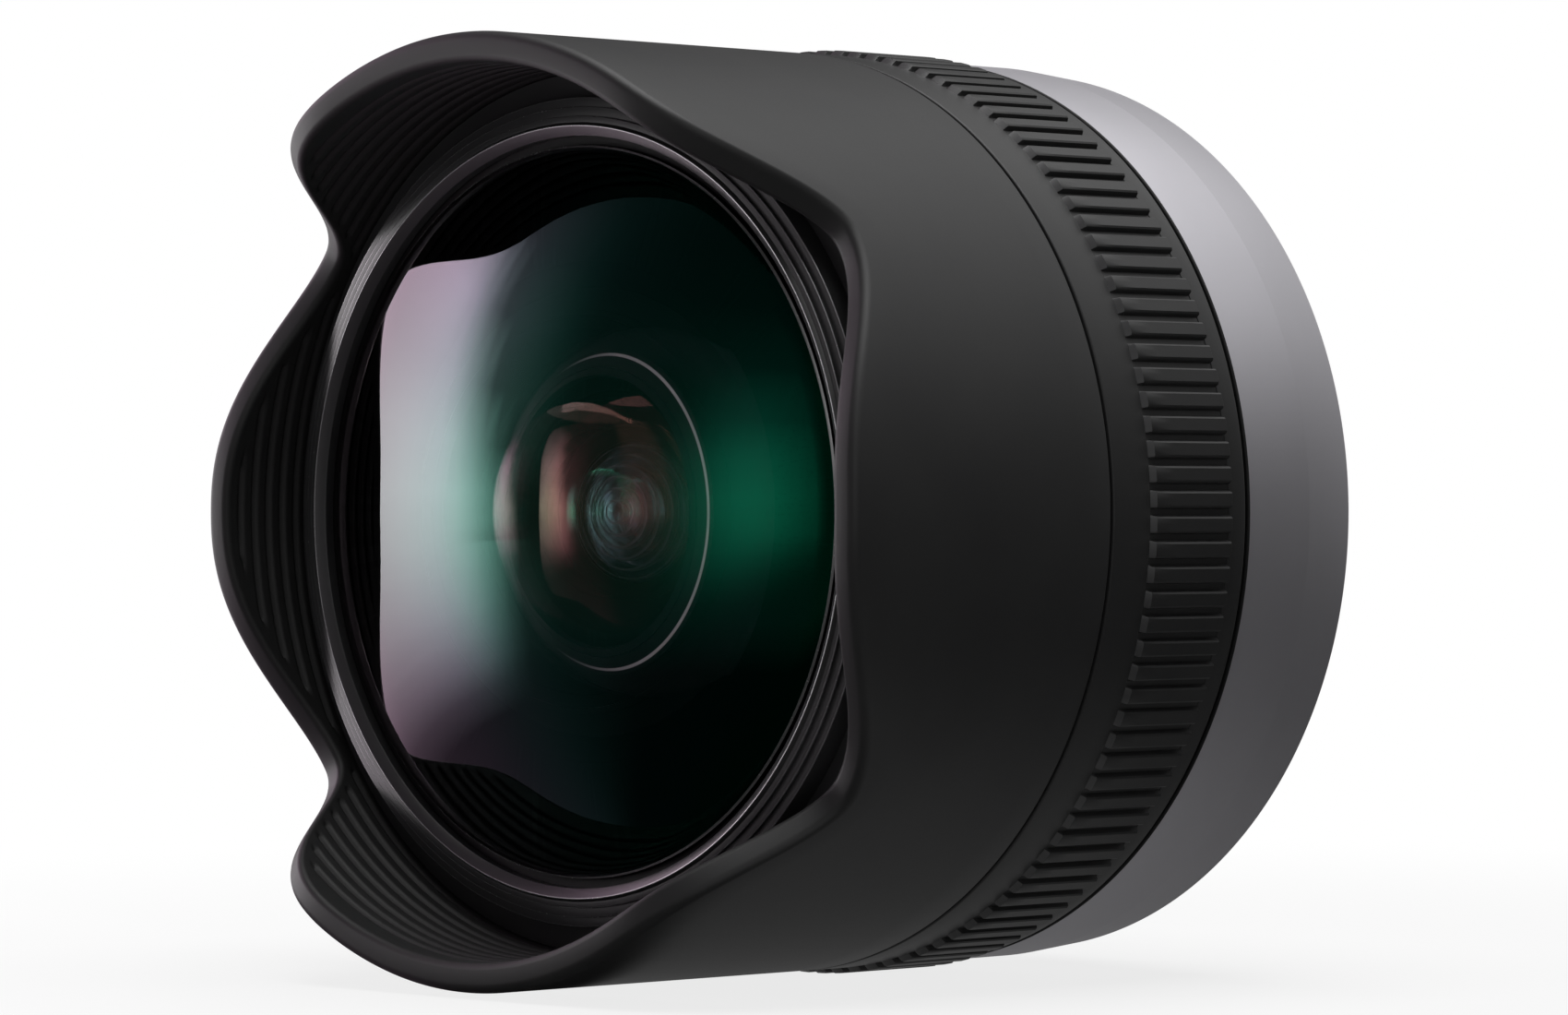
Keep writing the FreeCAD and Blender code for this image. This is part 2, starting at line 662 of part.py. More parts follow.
def glass(label, radius, seat, edge, front_curve, rear_curve, front_side, rear_side,
          front_ledge="glass_ledge", rear_clear=None, neck=None):
    """A lens element. A side of 1 has the face's middle ahead of its rim, and -1 behind it.

    A neck lifts the front face off its ledge.
    """
    body = new_body(label)
    sketch = sketch_section(body, label + "_section")
    front = "%s + %s" % (seat, edge)
    front_clear = "%s - %s" % (radius, front_ledge)
    rear_clear = rear_clear or "%s - glass_ledge" % radius
    seat_z = getattr(v, seat)
    front_z = seat_z + getattr(v, edge)
    rim_r = getattr(v, radius)
    front_r = rim_r - getattr(v, front_ledge)
    rear_r = getattr(v, rear_clear, rim_r - v.glass_ledge)
    corners = [(front_clear, front), (radius, front), (radius, seat), (rear_clear, seat)]
    spots = [Vector(front_r, front_z, 0), Vector(rim_r, front_z, 0), Vector(rim_r, seat_z, 0),
             Vector(rear_r, seat_z, 0)]
    if neck:
        corners.insert(0, (front_clear, "%s + %s" % (front, neck)))
        spots.insert(0, Vector(front_r, front_z + getattr(v, neck), 0))
    front_arc, front_middle = face_arc(front_r, spots[0].y, getattr(v, front_curve), front_side)
    rear_arc, rear_middle = face_arc(rear_r, seat_z, getattr(v, rear_curve), rear_side)
    edges = [Part.LineSegment(start, end) for start, end in zip(spots, spots[1:])]
    sketch.addGeometry([front_arc, rear_arc] + edges + [Part.LineSegment(rear_middle, front_middle)])
    last_edge = 1 + len(edges)
    axis = last_edge + 1
    front_rim, front_pole = (1, 2) if front_side > 0 else (2, 1)
    rear_rim, rear_pole = (1, 2) if rear_side > 0 else (2, 1)
    joints = [(2, 1, 0, front_rim), (last_edge, 2, 1, rear_rim), (axis, 1, 1, rear_pole),
              (axis, 2, 0, front_pole)]
    joints += [(k, 2, k + 1, 1) for k in range(2, last_edge)]
    for first, first_end, second, second_end in joints:
        sketch.addConstraint(Sketcher.Constraint("Coincident", first, first_end, second, second_end))
    for arc, curve in ((0, front_curve), (1, rear_curve)):
        sketch.addConstraint(Sketcher.Constraint("PointOnObject", arc, 3, -2))
        index = sketch.addConstraint(Sketcher.Constraint("Radius", arc, getattr(v, curve)))
        sketch.setExpression("Constraints[%d]" % index, formula(curve))
    for end in (1, 2):
        sketch.addConstraint(Sketcher.Constraint("PointOnObject", axis, end, -2))
    for k, (x, y) in enumerate(corners[:-1]):
        fix_point(sketch, 2 + k, 1, x, y)
    fix_point(sketch, last_edge, 2, rear_clear, seat)
    turn_section(body, sketch)
    return body


def face_arc(rim_r, rim_z, curve, side):
    """The arc of a glass face from its rim to its middle, and that middle point."""
    centre = Vector(0, rim_z - side * math.sqrt(curve ** 2 - rim_r ** 2), 0)
    circle = Part.Circle(centre, Vector(0, 0, 1), curve)
    half = math.asin(rim_r / curve)
    low = math.pi / 2 - half if side > 0 else math.pi * 3 / 2
    return Part.ArcOfCircle(circle, low, low + half), centre + Vector(0, side * curve, 0)


def ring_wire(radius, station=0.0):
    """A circle round the optical axis."""
    return Part.Wire(Part.makeCircle(radius, Vector(0, 0, station)))


def prism(wires, station, length):
    """A solid from an outline and the holes in it."""
    face = Part.makeFace(wires, "Part::FaceMakerBullseye")
    face.translate(Vector(0, 0, station))
    return face.extrude(Vector(0, 0, length))


# Outer shells

def hood_station(degrees):
    """How far forward the hood's edge reaches at an angle up from the side."""
    from_side = abs((degrees + QUARTER_TURN) % HALF_TURN - QUARTER_TURN)
    side_tip = v.hood_tip - v.side_petal_drop
    valley = v.hood_tip - v.valley_drop
    if from_side < v.valley_angle:
        share = (from_side / v.valley_angle) ** SIDE_PETAL_BEND
        return side_tip + (valley - side_tip) * share ** 2 * (3 - 2 * share)
    share = min(1.0, (from_side - v.valley_angle) / (v.petal_flat_angle - v.valley_angle))
    rise = 1 - (1 - share ** 2 * (3 - 2 * share)) ** TOP_PETAL_BEND
    return valley + (v.hood_tip - valley) * rise


def hood_cutter():
    """What is cut away between the petals: all that lies ahead of the hood's wavy edge."""
    angles = range(0, WHOLE_TURN, HOOD_EDGE_STEP)
    above = v.hood_tip + v.hood_wall
    walls = []
    for radius in (v.hood_inner - CUT_ROOM, v.barrel_radius + CUT_ROOM):
        curve = Part.BSplineCurve()
        curve.interpolate([polar(radius, a, hood_station(a)) for a in angles], PeriodicFlag=True)
        walls.append((curve.toShape(), Part.makeCircle(radius, Vector(0, 0, above))))
    (inner_edge, inner_top), (outer_edge, outer_top) = walls
    faces = [Part.makeRuledSurface(inner_edge, outer_edge),
             Part.makeRuledSurface(inner_edge, inner_top),
             Part.makeRuledSurface(outer_edge, outer_top),
             Part.makeRuledSurface(inner_top, outer_top)]
    cutter = Part.Solid(Part.makeShell(faces))
    cutter.fixTolerance(JOIN_TOLERANCE)
    return cutter


def turned_shape(section):
    """A turned solid from the corners of its section as radius and station."""
    points = [Vector(radius, 0, station) for radius, station in section]
    face = Part.Face(Part.makePolygon(points + points[:1]))
    return face.revolve(Vector(0, 0, 0), Vector(0, 0, 1), WHOLE_TURN)


def front_barrel():
    """The front barrel with its petal hood, open at both ends, with the ledge for the cell."""
    break_size = v.edge_break
    ledge_bore = v.barrel_bore - v.ledge_width
    wall = turned_shape([
        (v.barrel_bore, v.barrel_rear), (v.barrel_radius - break_size, v.barrel_rear),
        (v.barrel_radius, v.barrel_rear + break_size), (v.barrel_radius, v.hood_tip + CUT_ROOM),
        (v.hood_inner, v.hood_tip + CUT_ROOM), (v.hood_inner, v.cell_rear), (ledge_bore, v.cell_rear),
        (ledge_bore, v.ledge_rear), (v.barrel_bore, v.ledge_rear)])
    barrel = wall.cut(hood_cutter())
    lip = [edge for edge in barrel.Edges
           if edge.BoundBox.ZMin > v.hood_tip - v.valley_drop - CUT_ROOM]
    barrel = barrel.makeFillet(v.lip_round, lip)
    for k in range(SCREWS):
        spot = polar(v.front_screw_circle, v.post_angle + k * WHOLE_TURN / SCREWS, v.ledge_rear)
        hole = Part.makeCylinder(v.front_screw_radius + v.fit_gap, v.ledge_thick, spot)
        barrel = barrel.cut(hole)
    return barrel


new_feature("front_barrel", front_barrel())

turned("focus_sleeve", [
    ("ring_bore", "comb_front"), ("neck_radius", "comb_front"), ("neck_radius", "ring_rear"),
    ("barrel_radius - edge_break", "ring_rear"), ("barrel_radius", "ring_rear + edge_break"),
    ("barrel_radius", "ring_rear + grip_start"), ("grip_bore", "ring_rear + grip_start"),
    ("grip_bore", "ring_rear + grip_start + grip_length"),
    ("barrel_radius", "ring_rear + grip_start + grip_length"),
    ("barrel_radius", "ring_front - edge_break"), ("barrel_radius - edge_break", "ring_front"),
    ("ring_bore", "ring_front")])


def toothed_wire(count, root, tip, root_share, tip_share):
    """An outline with straight-sided teeth, each a share of the pitch wide at root and tip."""
    pitch = WHOLE_TURN / count
    points = []
    for k in range(count):
        middle = k * pitch
        for radius, share in ((root, -root_share), (tip, -tip_share), (tip, tip_share), (root, root_share)):
            points.append(polar(radius, middle + share * pitch / 2))
    return Part.makePolygon(points + points[:1])


def focus_grip():
    """The ribbed band, its ribs chamfered at both ends."""
    rear = v.ring_rear + v.grip_start
    front = rear + v.grip_length
    band = prism([toothed_wire(RIBS, v.grip_radius - v.rib_height, v.grip_radius, RIB_ROOT_SHARE,
                               RIB_TOP_SHARE), ring_wire(v.grip_bore)], rear, v.grip_length)
    low = v.grip_radius - v.rib_chamfer
    high = v.grip_radius + v.rib_height
    inside = v.grip_bore - CUT_ROOM
    envelope = turned_shape([(inside, rear), (low, rear), (high, rear + high - low),
                             (high, front - high + low), (low, front), (inside, front)])
    return band.common(envelope)


new_feature("focus_grip", focus_grip())
new_feature("encoder_comb", prism(
    [ring_wire(v.neck_radius),
     toothed_wire(COMB_SLOTS, v.comb_bore + v.comb_slot_depth, v.comb_bore, COMB_SHARE, COMB_SHARE)],
    v.comb_rear, v.comb_thick))

rear_barrel = turned("rear_barrel", [
    ("barrel_radius - shell_taper", "mount_plate_thick"),
    ("barrel_radius", "mount_plate_thick + shell_taper_length"),
    ("barrel_radius", "shell_end - edge_break"), ("barrel_radius - edge_break", "shell_end"),
    ("shell_inner", "shell_end"), ("shell_inner", "mount_plate_thick + shell_wall"),
    ("rear_tube_radius + fit_gap", "mount_plate_thick + shell_wall"),
    ("rear_tube_radius + fit_gap", "mount_plate_thick")])
dot_seat = sketch_radial(rear_barrel, "dot_seat", "barrel_radius - dot_depth", "dot_angle", "dot_station")
add_circle(dot_seat, None, "dot_radius + fit_gap / 2")
dot_pocket = add_feature(rear_barrel, "Pocket", dot_seat, "dot_depth * 2")
dot_pocket.Reversed = True

index_dot = new_body("index_dot")
dot_disc = sketch_radial(index_dot, "dot_disc", "barrel_radius - dot_depth", "dot_angle", "dot_station")
add_circle(dot_disc, None, "dot_radius")
add_feature(index_dot, "Pad", dot_disc, "dot_depth")

# Inner tube, with the bulkhead that carries the diaphragm, the drives and the rear lens cell

fixed_tube = turned("fixed_tube", [
    ("rear_flange_bore", "mount_plate_thick"), ("rear_tube_radius", "mount_plate_thick"),
    ("rear_tube_radius", "ring_rear + tube_step"), ("tube_radius", "ring_rear + tube_step"),
    ("tube_radius", "drag_ring_rear"), ("tube_radius - drag_ring_thick", "drag_ring_rear"),
    ("tube_radius - drag_ring_thick", "drag_ring_front"), ("tube_radius", "drag_ring_front"),
    ("tube_radius", "tube_flange_rear"), ("tube_flange_radius", "tube_flange_rear"),
    ("tube_flange_radius", "ledge_rear"), ("tube_flange_bore", "ledge_rear"),
    ("tube_flange_bore", "tube_flange_rear"),
    ("tube_bore", "tube_flange_rear"), ("tube_bore", "base_rear"),
    ("rear_cell_radius + fit_gap", "base_rear"), ("rear_cell_radius + fit_gap", "bulkhead_rear"),
    ("tube_bore", "bulkhead_rear"), ("tube_bore", "ring_rear + tube_step + tube_wall"),
    ("rear_tube_bore", "ring_rear + tube_step + tube_wall"), ("rear_tube_bore", "board_rear"),
    ("rear_flange_bore", "board_rear")])
drill(fixed_tube, "flange_holes", "ledge_rear", "tube_flange_thick",
      [("front_screw_circle", "front_screw_radius + fit_gap")], "post_angle", SCREWS)
drill(fixed_tube, "mount_holes", "board_rear", "rear_flange_thick",
      [("mount_screw_circle", "mount_screw_radius + fit_gap")], "mount_screw_angle", MOUNT_SCREWS)
drill(fixed_tube, "bulkhead_holes", "base_rear", "bulkhead_thick",
      [("post_circle", "small_screw_radius + fit_gap"),
       ("rear_cell_screw_circle", "small_screw_radius + fit_gap")], "post_angle", SCREWS)
for name, angle in (("main_rod_hole", "main_rod_angle"), ("second_rod_hole", "second_rod_angle")):
    drill(fixed_tube, name, "base_rear", "bulkhead_thick",
          [("rod_circle", "rod_radius + fit_gap")], angle)
drill(fixed_tube, "screw_passage", "base_rear", "bulkhead_thick",
      [("rod_circle", "screw_radius + screw_passage_gap")], "screw_angle")
drill(fixed_tube, "pinion_passage", "base_rear", "bulkhead_thick",
      [("pinion_circle", "pinion_pitch_radius + %d * gear_module" % TOOTH_ROOM)], "pinion_angle")

turned("drag_ring", [
    ("tube_radius - drag_ring_thick", "drag_ring_rear + fit_gap"),
    ("tube_radius", "drag_ring_rear + fit_gap"), ("tube_radius", "drag_ring_front - fit_gap"),
    ("tube_radius - drag_ring_thick", "drag_ring_front - fit_gap")])

# Two light sensors straddle the comb that turns with the ring

ring_sensors = new_body("ring_sensors")
for number, angle in enumerate(("sensor_angle", "sensor_angle + sensor_pitch_angle"), 1):
    inside = "rear_tube_radius + fit_gap"
    outside = "ring_bore - sensor_gap"
    arm = "(sensor_gap + comb_thick / 2)"
    middle = "(comb_front + comb_rear) / 2"
    block(ring_sensors, "sensor_back_%d" % number, "%s - %s - sensor_arm" % (middle, arm),
          "2 * (%s + sensor_arm)" % arm, inside, "comb_bore - sensor_gap", "sensor_width", angle)
    block(ring_sensors, "sensor_rear_arm_%d" % number, "%s - %s - sensor_arm" % (middle, arm),
          "sensor_arm", inside, outside, "sensor_width", angle)
    block(ring_sensors, "sensor_front_arm_%d" % number, "%s + %s" % (middle, arm),
          "sensor_arm", inside, outside, "sensor_width", angle)

# Front lens group

front_cell = turned("front_cell", [
    ("cell_flange_radius", "cell_rear"), ("cell_flange_radius", "cell_plate_front"),
    ("cell_radius", "cell_plate_front"), ("cell_radius", "cell_front"), ("cell_bore", "cell_front"),
    ("cell_bore", "cell_seat"), ("cell_bore - cell_seat_width", "cell_seat"),
    ("cell_bore - cell_seat_width", "cell_plate_front"),
    ("hub_radius", "cell_plate_front"), ("hub_radius", "hub_front"),
    ("glass2_radius + fit_gap", "hub_front"), ("glass2_radius + fit_gap", "glass2_seat"),
    ("glass3_radius - glass_ledge + fit_gap", "glass2_seat"),
    ("glass3_radius - glass_ledge + fit_gap", "glass3_seat + glass3_edge"),
    ("glass3_radius + fit_gap", "glass3_seat + glass3_edge"), ("glass3_radius + fit_gap", "tail_rear"),
    ("glass3_radius + cell_tail_wall", "tail_rear"), ("glass3_radius + cell_tail_wall", "cell_rear")])
drill(front_cell, "cell_screw_holes", "cell_plate_front", "cell_plate_thick",
      [("front_screw_circle", "front_screw_radius + fit_gap")], "post_angle", SCREWS)
for name, angle in (("main_rod_seat", "main_rod_angle"), ("second_rod_seat", "second_rod_angle")):
    drill(front_cell, name, "cell_rear + rod_seat", "rod_seat",
          [("rod_circle", "rod_radius + fit_gap")], angle)

glass("front_element", "glass1_radius", "glass1_seat", "glass1_edge", "glass1_front_curve",
      "glass1_rear_curve", 1, 1, "glass1_ledge_width", "glass1_rear_clear", "glass1_neck")
glass("second_element", "glass2_radius", "glass2_seat", "glass2_edge", "glass2_front_curve",
      "glass2_rear_curve", 1, 1, "glass_ledge", "glass2_rear_clear")
glass("third_element", "glass3_radius", "glass3_seat", "glass3_edge", "glass3_front_curve",
      "glass3_rear_curve", 1, 1)

turned("light_baffle", [
    ("hub_radius + fit_gap", "cell_seat"), ("cell_bore - fit_gap", "cell_seat"),
    ("cell_bore - fit_gap", "glass1_seat"), ("glass1_rear_clear", "glass1_seat")])
turned("front_retaining_ring", [
    ("glass1_radius - clamp_ring_width", "glass1_ledge"), ("glass1_radius", "glass1_ledge"),
    ("glass1_radius", "glass1_ledge + clamp_ring_thick"),
    ("glass1_radius - clamp_ring_width", "glass1_ledge + clamp_ring_thick")])
turned("second_retaining_ring", [
    ("glass2_radius - glass_ledge", "glass2_front"), ("glass2_radius", "glass2_front"),
    ("glass2_radius", "hub_front"), ("glass2_radius - glass_ledge", "hub_front")])
turned("front_bezel", [
    ("cell_radius + fit_gap", "channel_floor - bezel_floor_thick"),
    ("hood_inner - fit_gap", "channel_floor - bezel_floor_thick"), ("hood_inner - fit_gap", "channel_floor"),
    ("bezel_ridge_radius + 3 * bezel_step_width + bezel_foot_flare", "channel_floor"),
    ("bezel_ridge_radius + 3 * bezel_step_width", "cell_front + bezel_height - 3 * bezel_step_drop"),
    ("bezel_ridge_radius + 2 * bezel_step_width", "cell_front + bezel_height - 3 * bezel_step_drop"),
    ("bezel_ridge_radius + 2 * bezel_step_width", "cell_front + bezel_height - 2 * bezel_step_drop"),
    ("bezel_ridge_radius + bezel_step_width", "cell_front + bezel_height - 2 * bezel_step_drop"),
    ("bezel_ridge_radius + bezel_step_width", "cell_front + bezel_height - bezel_step_drop"),
    ("bezel_ridge_radius + bezel_ridge_width", "cell_front + bezel_height - bezel_step_drop"),
    ("bezel_ridge_radius", "cell_front + bezel_height"),
    ("bezel_bore", "cell_front + bezel_height - 2 * bezel_step_drop"), ("bezel_bore", "cell_front"),
    ("cell_radius + fit_gap", "cell_front")])

front_screws = new_body("front_screws")
shank = post(front_screws, "front_shank", "tube_flange_rear", "cell_plate_front - tube_flange_rear",
             "front_screw_circle", "front_screw_radius", "post_angle")
head = post(front_screws, "front_head", "cell_plate_front", "front_head_thick",
            "front_screw_circle", "front_head_radius", "post_angle")
repeat(front_screws, [shank, head], SCREWS)

# Focus carriage on its two rods, driven by a lead screw

glass("focus_element", "glass4_radius", "glass4_seat", "glass4_edge", "glass4_front_curve",
      "glass4_rear_curve", 1, -1)
focus_carriage = turned("focus_carriage", [
    ("glass4_radius - glass_ledge", "carriage_rear"),
    ("glass4_radius + carriage_ring_wall", "carriage_rear"),
    ("glass4_radius + carriage_ring_wall", "carriage_front"), ("glass4_radius + fit_gap", "carriage_front"),
    ("glass4_radius + fit_gap", "glass4_seat"), ("glass4_radius - glass_ledge", "glass4_seat")])
arm_start = "glass4_radius + carriage_ring_wall / 2"
block(focus_carriage, "main_arm", "arm_rear", "carriage_arm_thick", arm_start, "rod_circle",
      "carriage_arm_width", "main_rod_angle")
block(focus_carriage, "nut_arm", "arm_rear", "carriage_arm_thick", arm_start,
      "rod_circle - nut_depth / 2", "carriage_arm_width", "screw_angle")
block(focus_carriage, "fork_arm", "arm_rear", "carriage_arm_thick", arm_start,
      "rod_circle + fork_reach", "carriage_arm_width", "second_rod_angle")
post(focus_carriage, "rod_sleeve", "carriage_rear - carriage_lip", "carriage_sleeve_length",
     "rod_circle", "carriage_sleeve_radius", "main_rod_angle")
drill(focus_carriage, "sleeve_bore", "carriage_rear - carriage_lip + carriage_sleeve_length",
      "carriage_sleeve_length", [("rod_circle", "rod_radius + running_gap")], "main_rod_angle")
fork = sketch_across(focus_carriage, "fork_slot", "arm_rear + carriage_arm_thick", "second_rod_angle")
add_rectangle(fork, "rod_circle - rod_radius - fork_play", "rod_circle + fork_reach + rod_radius",
              "2 * (rod_radius + running_gap)")
add_feature(focus_carriage, "Pocket", fork, "carriage_arm_thick")

focus_nut = new_body("focus_nut")
block(focus_nut, "nut_block", "arm_rear", "nut_length", "rod_circle - nut_depth / 2",
      "rod_circle + nut_depth / 2", "nut_width", "screw_angle")
drill(focus_nut, "nut_thread", "arm_rear + nut_length", "nut_length",
      [("rod_circle", "screw_radius + thread_gap")], "screw_angle")

for name, angle in (("guide_rod_main", "main_rod_angle"), ("guide_rod_second", "second_rod_angle")):
    post(new_body(name), name + "_bar", "bulkhead_rear", "rod_front - bulkhead_rear", "rod_circle",
         "rod_radius", angle)

motor_bracket = new_body("motor_bracket")
block(motor_bracket, "bracket_base", "base_rear", "bracket_sheet", "bracket_foot", "bracket_reach",
      "bracket_width", "screw_angle")
block(motor_bracket, "bracket_strut", "base_rear", "screw_tip_rear + bracket_sheet - base_rear",
      "bracket_reach - bracket_sheet", "bracket_reach", "bracket_width", "screw_angle")
block(motor_bracket, "bracket_arm", "screw_tip_rear", "bracket_sheet", "bracket_foot",
      "bracket_reach", "bracket_width", "screw_angle")
drill(motor_bracket, "tip_bearing", "screw_tip_rear + bracket_sheet", "bracket_sheet",
      [("rod_circle", "screw_tip_radius + running_gap")], "screw_angle")
drill(motor_bracket, "base_passage", "base_rear + bracket_sheet", "bracket_sheet",
      [("rod_circle", "screw_radius + screw_passage_gap")], "screw_angle")


def stepping_motor(label, rear, radius, skin, shaft, tail, circle, angle):
    """A motor case with the room inside for its rotor."""
    body = new_body(label)
    case = sketch_across(body, label + "_case", rear, angle)
    add_circle(case, circle, radius)
    add_feature(body, "Pad", case, "bulkhead_rear - " + rear)
    drill(body, label + "_room", "bulkhead_rear - " + skin, "bulkhead_rear - 2 * %s - %s" % (skin, rear),
          [(circle, "%s - %s" % (radius, skin))], angle)
    drill(body, label + "_nose", "bulkhead_rear", skin, [(circle, shaft + " + running_gap")], angle)
    drill(body, label + "_tail", "%s + %s" % (rear, skin), skin, [(circle, tail + " + running_gap")], angle)


stepping_motor("focus_motor", "motor_rear", "motor_radius", "motor_skin", "screw_radius",
               "screw_tip_radius", "rod_circle", "screw_angle")
lead_screw = new_body("lead_screw")
post(lead_screw, "screw_tail", "motor_rear", "motor_skin + rotor_gap", "rod_circle",
     "screw_tip_radius", "screw_angle")
post(lead_screw, "screw_rotor", "motor_rear + motor_skin + rotor_gap",
     "motor_length - 2 * (motor_skin + rotor_gap)", "rod_circle",
     "motor_radius - motor_skin - rotor_gap", "screw_angle")
post(lead_screw, "screw_shaft", "bulkhead_rear - motor_skin - rotor_gap",
     "screw_tip_rear - bulkhead_rear + motor_skin", "rod_circle", "screw_radius", "screw_angle")
post(lead_screw, "screw_tip", "screw_tip_rear - rotor_gap", "bracket_sheet + rotor_gap",
     "rod_circle", "screw_tip_radius", "screw_angle")

# Diaphragm: base, seven blades, cam ring and cover

aperture_base = turned("aperture_base", [
    ("stop_radius", "base_rear"), ("base_radius", "base_rear"), ("base_radius", "base_front"),
    ("stop_radius", "base_front")])
base_post = post(aperture_base, "base_post", "base_front", "cover_rear - base_front", "post_circle",
                 "post_radius", "post_angle")
repeat(aperture_base, [base_post], SCREWS)
drill(aperture_base, "post_holes", "cover_rear", "cover_rear - base_rear",
      [("post_circle", "small_screw_radius + fit_gap")], "post_angle", SCREWS)
drill(aperture_base, "pivot_holes", "base_front", "base_thick - fit_gap",
      [("pivot_circle", "pin_radius + running_gap")], 0, BLADES)
drill(aperture_base, "pinion_notch", "base_front", "base_thick",
      [("pinion_circle", "pinion_pitch_radius + %d * gear_module" % TOOTH_ROOM)], "pinion_angle")

aperture_cover = turned("aperture_cover", [
    ("stop_radius", "cover_rear"), ("cam_bore - running_gap - cover_boss_wall", "cover_rear"),
    ("cam_bore - running_gap - cover_boss_wall", "cam_rear + fit_gap"),
    ("cam_bore - running_gap", "cam_rear + fit_gap"), ("cam_bore - running_gap", "cover_rear"),
    ("base_radius", "cover_rear"), ("base_radius", "cover_front"), ("stop_radius", "cover_front")])
drill(aperture_cover, "cover_holes", "cover_front", "cover_thick",
      [("post_circle", "small_screw_radius + fit_gap")], "post_angle", SCREWS)


def small_screws(label, tip, length, circle, head_rear):
    """Small screws with round heads, each a shank and a head at their own stations."""
    body = new_body(label)
    shank = post(body, label + "_shank", tip, length, circle, "small_screw_radius", "post_angle")
    head = post(body, label + "_head", head_rear, "small_head_thick", circle, "small_head_radius",
                "post_angle")
    repeat(body, [shank, head], SCREWS)


small_screws("aperture_screws", "bulkhead_rear + screw_shortfall",
             "cover_front - bulkhead_rear - screw_shortfall", "post_circle", "cover_front")


def blade_point(swing, radius, degrees):
    """Where a point of the first blade goes when the blade swings about its pivot."""
    pivot = polar(v.pivot_circle, 0)
    turn = Rotation(Vector(0, 0, 1), swing)
    return pivot + turn.multVec(polar(radius, degrees) - pivot)


def aperture_blade(number):
    """One thin sickle blade with a pivot pin behind and a cam pin ahead of it."""
    rear = v.blade_rear + (number - 1) * v.blade_pitch
    inner = v.blade_open_radius
    outer = inner + v.blade_width
    start, end, neck = v.blade_start_angle, v.blade_end_angle, v.blade_neck_angle
    shoulder = neck + v.blade_shoulder_angle
    heel = polar(v.pivot_circle + v.blade_ear, -v.blade_heel_angle)
    heel_bulge = polar(v.pivot_circle, -v.blade_heel_bulge_angle)
    throat = polar(v.pivot_circle - v.blade_ear, 0)
    neck_point = polar(v.pin_circle + v.blade_ear, neck)
    edges = [
        Part.Arc(polar(inner, start), polar(inner, (start + end) / 2), polar(inner, end)).toShape(),
        Part.Arc(polar(inner, end), polar((inner + outer) / 2, end + v.blade_tip_angle),
                 polar(outer, end)).toShape(),
        Part.Arc(polar(outer, end), polar(outer, (neck + end) / 2), polar(outer, shoulder)).toShape(),
        Part.makeLine(polar(outer, shoulder), neck_point),
        Part.makeLine(neck_point, heel),
        Part.Arc(heel, heel_bulge, throat).toShape(),
        Part.makeLine(throat, polar(inner, start))]
    blade = prism([Part.Wire(edges)], rear, v.blade_thick)
    pivot_rear = v.base_rear + 2 * v.fit_gap
    blade = blade.fuse([
        Part.makeCylinder(v.pin_radius, rear + v.blade_thick - pivot_rear,
                          polar(v.pivot_circle, 0, pivot_rear)),
        Part.makeCylinder(v.pin_radius, v.cam_rear + v.cam_thick - rear,
                          polar(v.pin_circle, v.pin_lead_angle, rear))]).removeSplitter()
    blade.rotate(Vector(0, 0, 0), Vector(0, 0, 1), (number - 1) * WHOLE_TURN / BLADES)
    return blade


for number in range(1, BLADES + 1):
    new_feature("aperture_blade_%d" % number, aperture_blade(number))


def gear_flank(teeth, module, side):
    """Points of one tooth flank, from root to tip, as radius and angle from the tooth's middle."""
    pressure = math.radians(PRESSURE_ANGLE)
    pitch_radius = module * teeth / 2
    base_radius = pitch_radius * math.cos(pressure)
    root = pitch_radius - TOOTH_ROOT * module
    tip = pitch_radius + TOOTH_TIP * module
    half_tooth = math.pi / 2 / teeth - v.gear_backlash / pitch_radius
    spread = math.tan(pressure) - pressure
    points = []
    for share in FLANK_SHARES:
        radius = root + share * (tip - root)
        roll = math.acos(min(1.0, base_radius / max(radius, base_radius)))
        angle = half_tooth + spread - (math.tan(roll) - roll)
        points.append((radius, side * math.degrees(angle)))
    return points


def gear_wire(teeth, module, first_angle):
    """A gear's whole outline, with the middle of one tooth at the first angle."""
    points = []
    for k in range(teeth):
        middle = first_angle + k * WHOLE_TURN / teeth
        points += [polar(radius, middle + angle) for radius, angle in gear_flank(teeth, module, -1)]
        points += [polar(radius, middle + angle)
                   for radius, angle in reversed(gear_flank(teeth, module, 1))]
    return Part.makePolygon(points + points[:1])


def cam_slot():
    """The slot that turns the cam ring's steady turn into a blade's steady swing."""
    reach = v.pin_radius + v.running_gap
    over = SLOT_OVERRUN / SLOT_STEPS
    track = []
    for k in range(SLOT_STEPS + 1):
        share = -over + (1 + 2 * over) * k / SLOT_STEPS
        spot = blade_point(share * v.blade_swing_angle, v.pin_circle, v.pin_lead_angle)
        turn = Rotation(Vector(0, 0, 1), share * v.cam_turn_angle)
        track.append(turn.multVec(spot))
    sides = {1: [], -1: []}
    for k, spot in enumerate(track):
        along = track[min(k + 1, SLOT_STEPS)] - track[max(k - 1, 0)]
        across = Vector(-along.y, along.x, 0).normalize() * reach
        for side in sides:
            sides[side].append(spot + across * side)
    edges = []
    for side in (1, -1):
        curve = Part.BSplineCurve()
        curve.interpolate(sides[side])
        edges.append(curve.toShape())
    for end, inward in ((0, 1), (-1, -2)):
        beyond = (track[end] - track[inward]).normalize() * reach
        edges.append(Part.Arc(sides[1][end], track[end] + beyond, sides[-1][end]).toShape())
    return Part.Wire(Part.__sortEdges__(edges))


